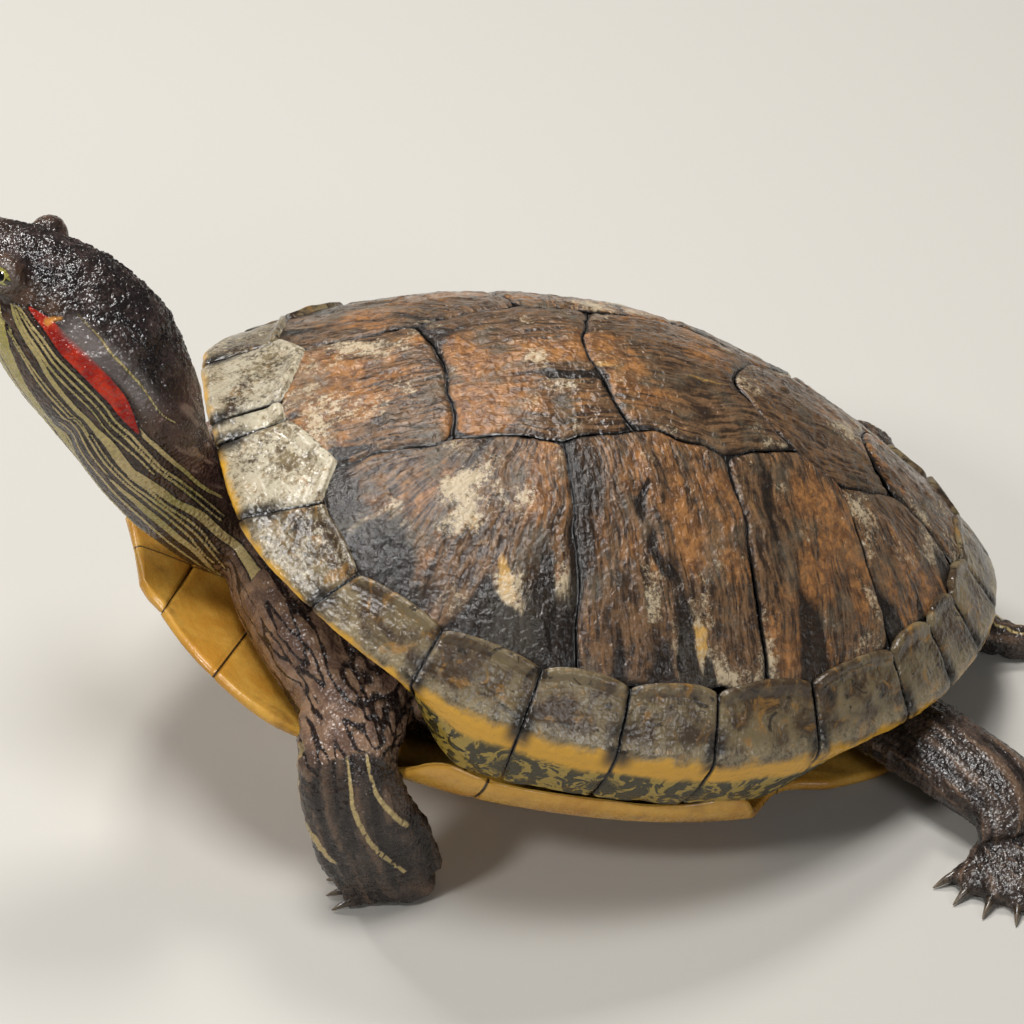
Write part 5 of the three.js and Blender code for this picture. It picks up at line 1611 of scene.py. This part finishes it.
# %% Tools for materials
class Paint:
    """A tree of nodes being made. Each method adds a node or two and gives back the last one's output."""

    def __init__(self, tree):
        self.tree, self.color = tree, None

    def put(self, kind, inputs, output=0, **settings):
        node = self.tree.nodes.new("ShaderNode" + kind)
        for key, value in settings.items():
            setattr(node, key, value)
        for key, value in inputs.items():
            if isinstance(value, bpy.types.NodeSocket):
                self.tree.links.new(value, node.inputs[key])
            else:
                node.inputs[key].default_value = value
        return node.outputs[output]

    def field(self, name):
        return self.put("Attribute", {}, "Fac", attribute_name=name)

    def where(self):
        return self.put("TexCoord", {}, "Object")

    def moved(self, place, shift=(0, 0, 0), stretch=(1, 1, 1)):
        return self.put("Mapping", {0: place, 1: shift, 3: stretch})

    def lie(self, across, along):
        """The place on a plate's own flat coordinates, stretched along the way it grew."""
        return self.moved(self.put("UVMap", {}, uv_map="lie"), stretch=(across, along, 1))

    def noise(self, place, size, detail=3, roughness=0.55, twist=0):
        return self.put("TexNoise", {"Vector": place, "Scale": 1 / size, "Detail": detail,
                                     "Roughness": roughness, "Distortion": twist}, "Fac")

    def math(self, kind, a, b=0.0, c=0.0):
        return self.put("Math", {0: a, 1: b, 2: c}, operation=kind)

    def times(self, a, b):
        return self.math("MULTIPLY", a, b)

    def total(self, value, *others):
        """The value plus each of the others times its share."""
        for other, share in others:
            value = self.math("MULTIPLY_ADD", other, share, value)
        return value

    def rise(self, value, low, high, start=0.0, end=1.0):
        """From start to end as the value goes from low to high, easing in and out."""
        return self.put("MapRange", {0: value, 1: low, 2: high, 3: start, 4: end},
                        interpolation_type="SMOOTHSTEP")

    def over(self, below, above, *share):
        """One colour over another, by a share or by how far a value has risen."""
        share = self.rise(*share) if len(share) > 1 else share[0]
        below, above = (x + (1,) if isinstance(x, tuple) else x for x in (below, above))
        return self.put("Mix", {0: share, 6: below, 7: above}, 2, data_type="RGBA")

    def lay(self, above, *share):
        """Lays a colour over all that lies there already."""
        self.color = self.over(self.color, above, *share)

    def group(self, tree):
        node = self.tree.nodes.new("ShaderNodeGroup")
        node.node_tree = tree
        return [node.outputs[n] for n in range(len(node.outputs))]

    def finish(self, roughness=None, height=None, distance=0.0):
        """Joins the colour, the roughness and a bump of the given distance to the shader."""
        inputs = self.tree.nodes["Principled BSDF"].inputs
        self.tree.links.new(self.color, inputs["Base Color"])
        if roughness is not None:
            self.tree.links.new(roughness, inputs["Roughness"])
        if height is not None:
            self.tree.links.new(self.put("Bump", {"Height": height, "Strength": 1.0, "Distance": distance}),
                                inputs["Normal"])


def surface(name, **constants):
    """A new material with the given constant values on its shader, and the tools to paint it."""
    material = bpy.data.materials.new(name)
    material.use_nodes = True
    shader = material.node_tree.nodes["Principled BSDF"]
    for key, value in constants.items():
        shader.inputs[key.replace("_", " ").title().replace("Ior", "IOR")].default_value = value
    return material, Paint(material.node_tree)


# %% [markdown]
# All horn has the same grain: streaks along the way a plate grew, dust-fine speckle, an uneven film of water
# and algae, and the height of all that. One node group makes it for the three kinds of plate.

# %% Grain of horn
GRAIN = ("Streak", "Broad", "Speckle", "Film", "Height")


def horn_grain():
    group = bpy.data.node_groups.new("horn_grain", "ShaderNodeTree")
    for output in GRAIN:
        group.interface.new_socket(output, in_out="OUTPUT", socket_type="NodeSocketFloat")
    p = Paint(group)
    place = p.where()
    streak = p.noise(p.lie(0.95, 0.11), 1.0, 5, 0.65, 0.3)
    broad = p.noise(p.lie(0.30, 0.05), 1.0, 3, 0.6, 0.5)
    speckle = p.noise(place, 0.0013, 6, 0.8)
    film = p.noise(place, 0.011, 4, 0.6)
    pits = p.noise(place, 0.0017, 1, 0.5, 0.4)
    height = p.total(pits, (speckle, 0.15), (streak, 0.45))
    end = group.nodes.new("NodeGroupOutput")
    for output, value in zip(GRAIN, (streak, broad, speckle, film, height)):
        group.links.new(value, end.inputs[output])
    return group


HORN = horn_grain()

# %% [markdown]
# The dome's horn is brown with an orange cast where it is thin, black where the young animal's dark bars
# still show, and dusted with cream where the surface has flaked.

# %% Horn of the dome
BLACK_HORN = (0.011, 0.009, 0.008)
BROWN_DARK, BROWN_LIGHT = (0.034, 0.021, 0.014), (0.165, 0.092, 0.046)
RUST_DARK, RUST = (0.150, 0.068, 0.028), (0.33, 0.150, 0.050)
GOLD = (0.50, 0.29, 0.085)
CREAM = (0.50, 0.40, 0.26)
OLIVE_FILM = (0.105, 0.088, 0.060)
DOME_BUMP, RIM_BUMP, BELLY_BUMP, SKIN_BUMP, CLAW_BUMP = 0.00065, 0.00036, 0.00010, 0.00036, 0.0001


def dome_material():
    material, p = surface("horn_dome", specular_ior_level=0.45)
    streak, broad, speckle, film, height = p.group(HORN)
    mottle = p.noise(p.where(), 0.0028, 4, 0.65, 0.4)
    p.color = p.over(BROWN_DARK, BROWN_LIGHT, p.total(streak, (mottle, 0.5)), 0.62, 0.88)
    rust = p.over(RUST_DARK, RUST, mottle, 0.40, 0.62)
    p.lay(rust, p.total(p.field("rust"), (streak, 1.4), (broad, 1.6)), 1.6, 2.2, 0, 0.9)
    p.lay(OLIVE_FILM, film, 0.50, 0.66, 0, 0.5)
    p.lay(GOLD, p.total(p.field("gold"), (streak, 0.9)), 0.62, 1.0)
    dust = p.rise(p.total(p.field("worn"), (film, 0.8), (speckle, 3.4)), 2.45, 3.0, 0, 0.85)
    p.lay(CREAM, dust)
    p.lay(BLACK_HORN, p.total(p.field("dark"), (speckle, 0.6), (streak, 1.5)), 1.05, 1.5, 0, 0.93)
    p.lay(BLACK_HORN, p.field("edge"), 0.15, 0.75, 1, 0)
    wetness = p.total(film, (speckle, 0.4), (dust, 0.12))
    p.finish(p.rise(wetness, 0.60, 0.90, 0.07, 0.30), height, DOME_BUMP)
    return material


# %% [markdown]
# A rim plate is olive brown and half clear, with worn cream on top, a dark blotch at each seam, a pale
# band painted along the ledge as its highlight, an orange-yellow outer edge and dark smoke-ring marks on the
# yellow underneath.

# %% Horn of the rim
RIM_BROWN, RIM_OLIVE = (0.060, 0.038, 0.022), (0.185, 0.140, 0.075)
RIM_TAN, RIM_DARK = (0.30, 0.155, 0.040), (0.020, 0.015, 0.012)
RIM_CREAM = (0.50, 0.44, 0.32)
# painted highlight: the pale colour of the band along the ledge, standing in for the reflection on wet horn
LEDGE_HIGHLIGHT_PAINT = (0.36, 0.30, 0.19)
RIM_YELLOW, UNDER_YELLOW = (0.68, 0.36, 0.035), (0.36, 0.25, 0.045)
SMOKE, BLOTCH, RIM_SEAM = (0.020, 0.020, 0.010), (0.016, 0.014, 0.014), (0.012, 0.010, 0.008)
FLECKS_APART = (0.3, 0.7, 0.1)  # another part of the same noise
SMOKE_LEVEL, UNDER_MM = 1.62, 17.0  # where the smoke rings centre, and millimetres of horn to one step


def rim_material():
    material, p = surface("horn_rim", specular_ior_level=0.5)
    _, _, speckle, film, height = p.group(HORN)
    down, seam = p.field("q"), p.field("seam")
    clouds = p.noise(p.where(), 0.009, 4, 0.6, 0.6)
    flecks = p.noise(p.moved(p.where(), FLECKS_APART), 0.006, 3, 0.6, 1.2)
    swirl = p.noise(p.where(), 0.006, 3, 0.55, 1.5)
    p.color = p.over(RIM_BROWN, RIM_OLIVE, clouds, 0.40, 0.62)
    p.lay(RIM_TAN, flecks, 0.55, 0.72, 0, 0.75)
    p.lay(RIM_DARK, flecks, 0.42, 0.34, 0, 0.85)
    # the first plates beside the neck are worn nearly white
    p.lay(RIM_CREAM, p.total(film, (speckle, 1.5), (p.field("back"), -0.55)), 0.98, 1.30, 0, 0.9)
    # painted highlight: a pale band along the ledge, broken by speckle, in place of the glints of light there
    ledge_highlight_mask = p.times(p.rise(down, 0.66, 0.86), p.rise(down, 1.06, 0.96))
    p.lay(LEDGE_HIGHLIGHT_PAINT, p.times(ledge_highlight_mask, p.rise(speckle, 0.38, 0.62, 0.1, 0.6)))
    p.lay(RIM_YELLOW, p.total(down, (clouds, 0.30)), 1.04, 1.16)
    under = p.rise(p.total(down, (clouds, 0.25)), 1.30, 1.45)
    p.lay(UNDER_YELLOW, under)
    # smoke rings round a spot on each seam, broken up by the cloudy noise
    low = p.times(p.math("SUBTRACT", down, SMOKE_LEVEL), UNDER_MM)
    away = p.math("SQRT", p.math("MULTIPLY_ADD", low, low, p.times(seam, seam)))
    rings = p.math("SINE", p.times(p.total(away, (swirl, 17.0)), 0.85))
    smoke = p.total(swirl, (away, -0.035), (rings, 0.40))
    p.lay(SMOKE, p.times(under, p.rise(smoke, -0.12, 0.20, 0, 0.93)))
    on_top = p.times(p.rise(down, 0.35, 0.75), p.rise(down, 1.2, 0.95))
    blotch = p.times(p.times(p.rise(seam, 4.8, 1.2), on_top), p.rise(clouds, 0.36, 0.50, 0, 0.93))
    p.lay(BLOTCH, blotch)
    p.lay(RIM_SEAM, p.field("edge"), 0.10, 0.7, 1, 0)
    p.finish(p.rise(p.total(film, (speckle, 0.5)), 0.62, 0.95, 0.06, 0.26), height, RIM_BUMP)
    return material


# %% [markdown]
# The belly plates are the least worn: orange-yellow, clouded with brown, dark brown in the seams, and with
# a few large dark blots away from the edge.

# %% Horn of the belly
BELLY_ORANGE, BELLY_YELLOW = (0.50, 0.235, 0.030), (0.66, 0.37, 0.065)
BELLY_BROWN, BELLY_BLOT = (0.24, 0.10, 0.02), (0.030, 0.024, 0.014)
BELLY_SEAM, BELLY_GROOVE = (0.035, 0.018, 0.008), (0.10, 0.05, 0.015)


def belly_material():
    material, p = surface("horn_belly", specular_ior_level=0.5, subsurface_weight=0.08,
                          subsurface_scale=0.003)
    _, _, speckle, film, height = p.group(HORN)
    clouds = p.noise(p.where(), 0.022, 4, 0.55, 0.8)
    blot = p.noise(p.where(), 0.030, 3, 0.5, 1.2)
    p.color = p.over(BELLY_ORANGE, BELLY_YELLOW, clouds, 0.35, 0.62)
    p.lay(BELLY_BROWN, p.total(film, (clouds, 1.0)), 1.06, 1.30, 0, 0.7)
    marked = p.times(p.rise(p.field("out"), 66, 40), p.rise(p.field("inner"), 0.6, 0.4))
    p.lay(BELLY_BLOT, p.times(p.rise(blot, 0.60, 0.66, 0, 0.85), marked))
    p.lay(BELLY_SEAM, p.field("edge"), 0.08, 0.45, 1, 0)
    p.lay(BELLY_GROOVE, p.field("out"), 0.10, 0.5, 1, 0)
    p.finish(p.rise(speckle, 0.3, 0.75, 0.2, 0.38), height, BELLY_BUMP)
    return material


# %% [markdown]
# The skin's colours lie in layers: dark skin first, then the legs with their stripes, the slack skin, the
# stripes of head and neck, the throat's yellow band and the red patch behind the eye, then the grey cheek,
# the brown, streaked nape and the glossy crown.

# %% Skin
DARK_SKIN, BROWN_SKIN = (0.030, 0.017, 0.012), (0.078, 0.044, 0.028)
DARK_LIMB, GREY_LIMB = (0.022, 0.015, 0.013), (0.082, 0.056, 0.042)
LIMB_TAN, LIMB_BLACK, LIMB_STRIPE = (0.17, 0.105, 0.065), (0.012, 0.009, 0.008), (0.50, 0.38, 0.17)
SLACK_DARK, SLACK_PINK, SLACK_NET = (0.150, 0.088, 0.062), (0.30, 0.185, 0.115), (0.022, 0.013, 0.011)
FOLD_PINK = (0.24, 0.055, 0.060)
STRIPE_OLIVE, STRIPE_CREAM, STRIPE_BROWN = (0.34, 0.29, 0.10), (0.54, 0.42, 0.19), (0.20, 0.13, 0.07)
STRIPE_BORDER, RED_BORDER = (0.013, 0.009, 0.007), (0.012, 0.008, 0.007)
BAND_OLIVE, BAND_CREAM = (0.34, 0.29, 0.075), (0.46, 0.38, 0.15)
RED_DARK, RED_LIGHT, NOTCH_ORANGE = (0.25, 0.010, 0.006), (0.48, 0.034, 0.012), (0.72, 0.30, 0.06)
CHEEK_DARK, CHEEK_GREY = (0.055, 0.042, 0.038), (0.16, 0.135, 0.125)
NAPE_DARK, NAPE_BROWN, NAPE_STREAK = (0.050, 0.026, 0.022), (0.105, 0.060, 0.048), (0.27, 0.18, 0.14)
CROWN_BLACK, CROWN_BROWN = (0.012, 0.009, 0.009), (0.050, 0.034, 0.030)
LID_GREY, JAW_HORN, NOSTRIL_BLACK = (0.115, 0.085, 0.070), (0.20, 0.17, 0.075), (0.010, 0.006, 0.005)


def skin_material():
    material, p = surface("skin_wet", specular_ior_level=0.45, subsurface_weight=0.06, subsurface_scale=0.002)
    place = p.where()
    fine = p.noise(place, 0.0007, 3, 0.65)
    soft_grain = p.noise(place, 0.0012, 1, 0.5)
    patch = p.noise(place, 0.006, 4, 0.6)
    broad = p.noise(place, 0.025, 3, 0.55)
    fuzz = p.math("MULTIPLY_ADD", fine, 0.5, -0.25)

    def inside(name):
        """Millimetres inside a mark, its border made fuzzy."""
        return p.math("ADD", p.field(name), fuzz)

    lines, pale, nostril = p.field("lines"), inside("pale"), p.field("nostril")
    p.color = p.over(DARK_SKIN, BROWN_SKIN, patch, 0.38, 0.66)
    limb = p.over(DARK_LIMB, GREY_LIMB, p.total(patch, (fine, 0.5)), 0.55, 1.0)
    limb = p.over(limb, LIMB_TAN, lines, 0.25, 0.65, 0, 0.6)
    limb = p.over(limb, LIMB_BLACK, lines, -0.15, -0.5, 0, 0.8)
    p.lay(p.over(limb, LIMB_STRIPE, inside("limb_pale"), -0.25, 0.15, 0, 0.92), p.field("limb"))
    net = p.total(p.math("ABSOLUTE", p.field("net")), (fine, 0.25))
    p.lay(p.over(SLACK_NET, p.over(SLACK_DARK, SLACK_PINK, patch, 0.4, 0.62), net, 0.24, 0.40),
          p.field("shoulder"))
    p.lay(FOLD_PINK, p.times(p.field("fold"), p.rise(patch, 0.3, 0.55, 0.4, 0.95)))
    stripe = p.over(STRIPE_OLIVE, STRIPE_CREAM, broad, 0.4, 0.6)
    stripe = p.over(stripe, STRIPE_BROWN, fine, 0.45, 0.75, 0, 0.6)
    p.lay(STRIPE_BORDER, pale, -0.75, -0.25)
    p.lay(stripe, pale, -0.18, 0.12, 0, 0.92)
    p.lay(p.over(BAND_OLIVE, BAND_CREAM, patch, 0.4, 0.6), inside("band"), -0.15, 0.2)
    p.lay(RED_BORDER, inside("red"), -1.0, -0.35)
    p.lay(p.over(RED_DARK, RED_LIGHT, patch, 0.38, 0.62), inside("red"), -0.25, 0.2)
    p.lay(p.over(CHEEK_DARK, CHEEK_GREY, broad, 0.35, 0.6),
          p.times(p.field("cheek"), p.rise(p.field("pale"), 0.1, -0.3)))
    p.lay(NOTCH_ORANGE, inside("notch"), -0.4, 0.5, 0, 0.8)
    nape = p.over(NAPE_DARK, NAPE_BROWN, patch, 0.4, 0.65)
    nape = p.over(nape, NAPE_STREAK, p.field("streak"), 0.62, 0.85, 0, 0.75)
    p.lay(nape, p.times(p.field("nape"), p.rise(p.field("pale"), 0.0, -0.5)))
    p.lay(p.over(CROWN_BLACK, CROWN_BROWN, p.total(patch, (fine, 0.5)), 0.65, 0.95), p.field("crown"))
    p.lay(LID_GREY, p.times(p.field("lid"), p.rise(patch, 0.3, 0.6, 0.4, 0.95)))
    p.lay(JAW_HORN, p.times(p.field("horn"), p.rise(patch, 0.3, 0.6, 0.35, 0.8)))
    p.lay(NOSTRIL_BLACK, nostril, 0.3, 0.7)
    gloss = p.total(p.rise(fine, 0.3, 0.75, 0.17, 0.36), (p.field("crown"), -0.11))
    cell = p.put("TexVoronoi", {"Vector": place, "Scale": 850, "Randomness": 0.9}, "Distance")
    p.finish(gloss, p.total(soft_grain, (cell, -0.8)), SKIN_BUMP)
    return material


# %% Eyes and claws
EYE_DARK, EYE_GREEN, EYE_RIM = (0.12, 0.11, 0.025), (0.42, 0.38, 0.09), (0.05, 0.04, 0.015)
EYE_BAR, PUPIL = (0.014, 0.011, 0.008), (0.002, 0.002, 0.002)
EYE_RING, EYE_WHITE = (0.46, 0.40, 0.12), (0.03, 0.022, 0.018)
CLAW_DARK, CLAW_BROWN, CLAW_TIP = (0.020, 0.014, 0.010), (0.085, 0.058, 0.035), (0.20, 0.155, 0.10)


def eye_material():
    """From the line of sight outward: black pupil, thin yellow ring, iris of fibres, dark edge."""
    material, p = surface("eye_wet", specular_ior_level=0.6, coat_roughness=0.02, coat_weight=1.0,
                          roughness=0.12)
    polar = p.field("polar")
    round_it = p.put("CombineXYZ", {0: p.times(p.field("round"), 9.0), 1: p.times(polar, 0.06)})
    iris = p.over(EYE_DARK, EYE_GREEN, p.noise(round_it, 1.0, 3, 0.6), 0.35, 0.65)
    iris = p.over(iris, EYE_RIM, polar, 34, 42)
    bar = p.rise(p.math("ABSOLUTE", p.field("height")), 0.85, 0.5)
    iris = p.over(iris, EYE_BAR, p.times(bar, p.rise(polar, 17, 22, 0.3, 0.95)))
    p.color = p.over(PUPIL, iris, polar, 14.5, 17.5)
    p.lay(EYE_RING, p.times(p.rise(polar, 16.5, 18.0), p.rise(polar, 20.5, 19.0)))
    p.lay(EYE_WHITE, polar, 44, 52)
    p.finish()
    return material


def claw_material():
    material, p = surface("horn_claw", specular_ior_level=0.5, coat_weight=0.6, coat_roughness=0.1)
    streak = p.noise(p.moved(p.where(), stretch=(1, 1, 0.3)), 0.0012, 4, 0.6)
    p.color = p.over(CLAW_DARK, CLAW_BROWN, streak, 0.35, 0.65)
    p.lay(CLAW_TIP, p.field("out"), 0.45, 1.0, 0, 0.7)
    p.finish(p.rise(streak, 0.3, 0.7, 0.22, 0.4), streak, CLAW_BUMP)
    return material


for group, material in (("dome", dome_material()), ("rim", rim_material()), ("belly", belly_material()),
                        ("skin", skin_material()), ("eye", eye_material()), ("claw", claw_material())):
    for piece in pieces[group]:
        piece.data.materials.append(material)
print("materials after", round(time.time() - started, 1), "s")
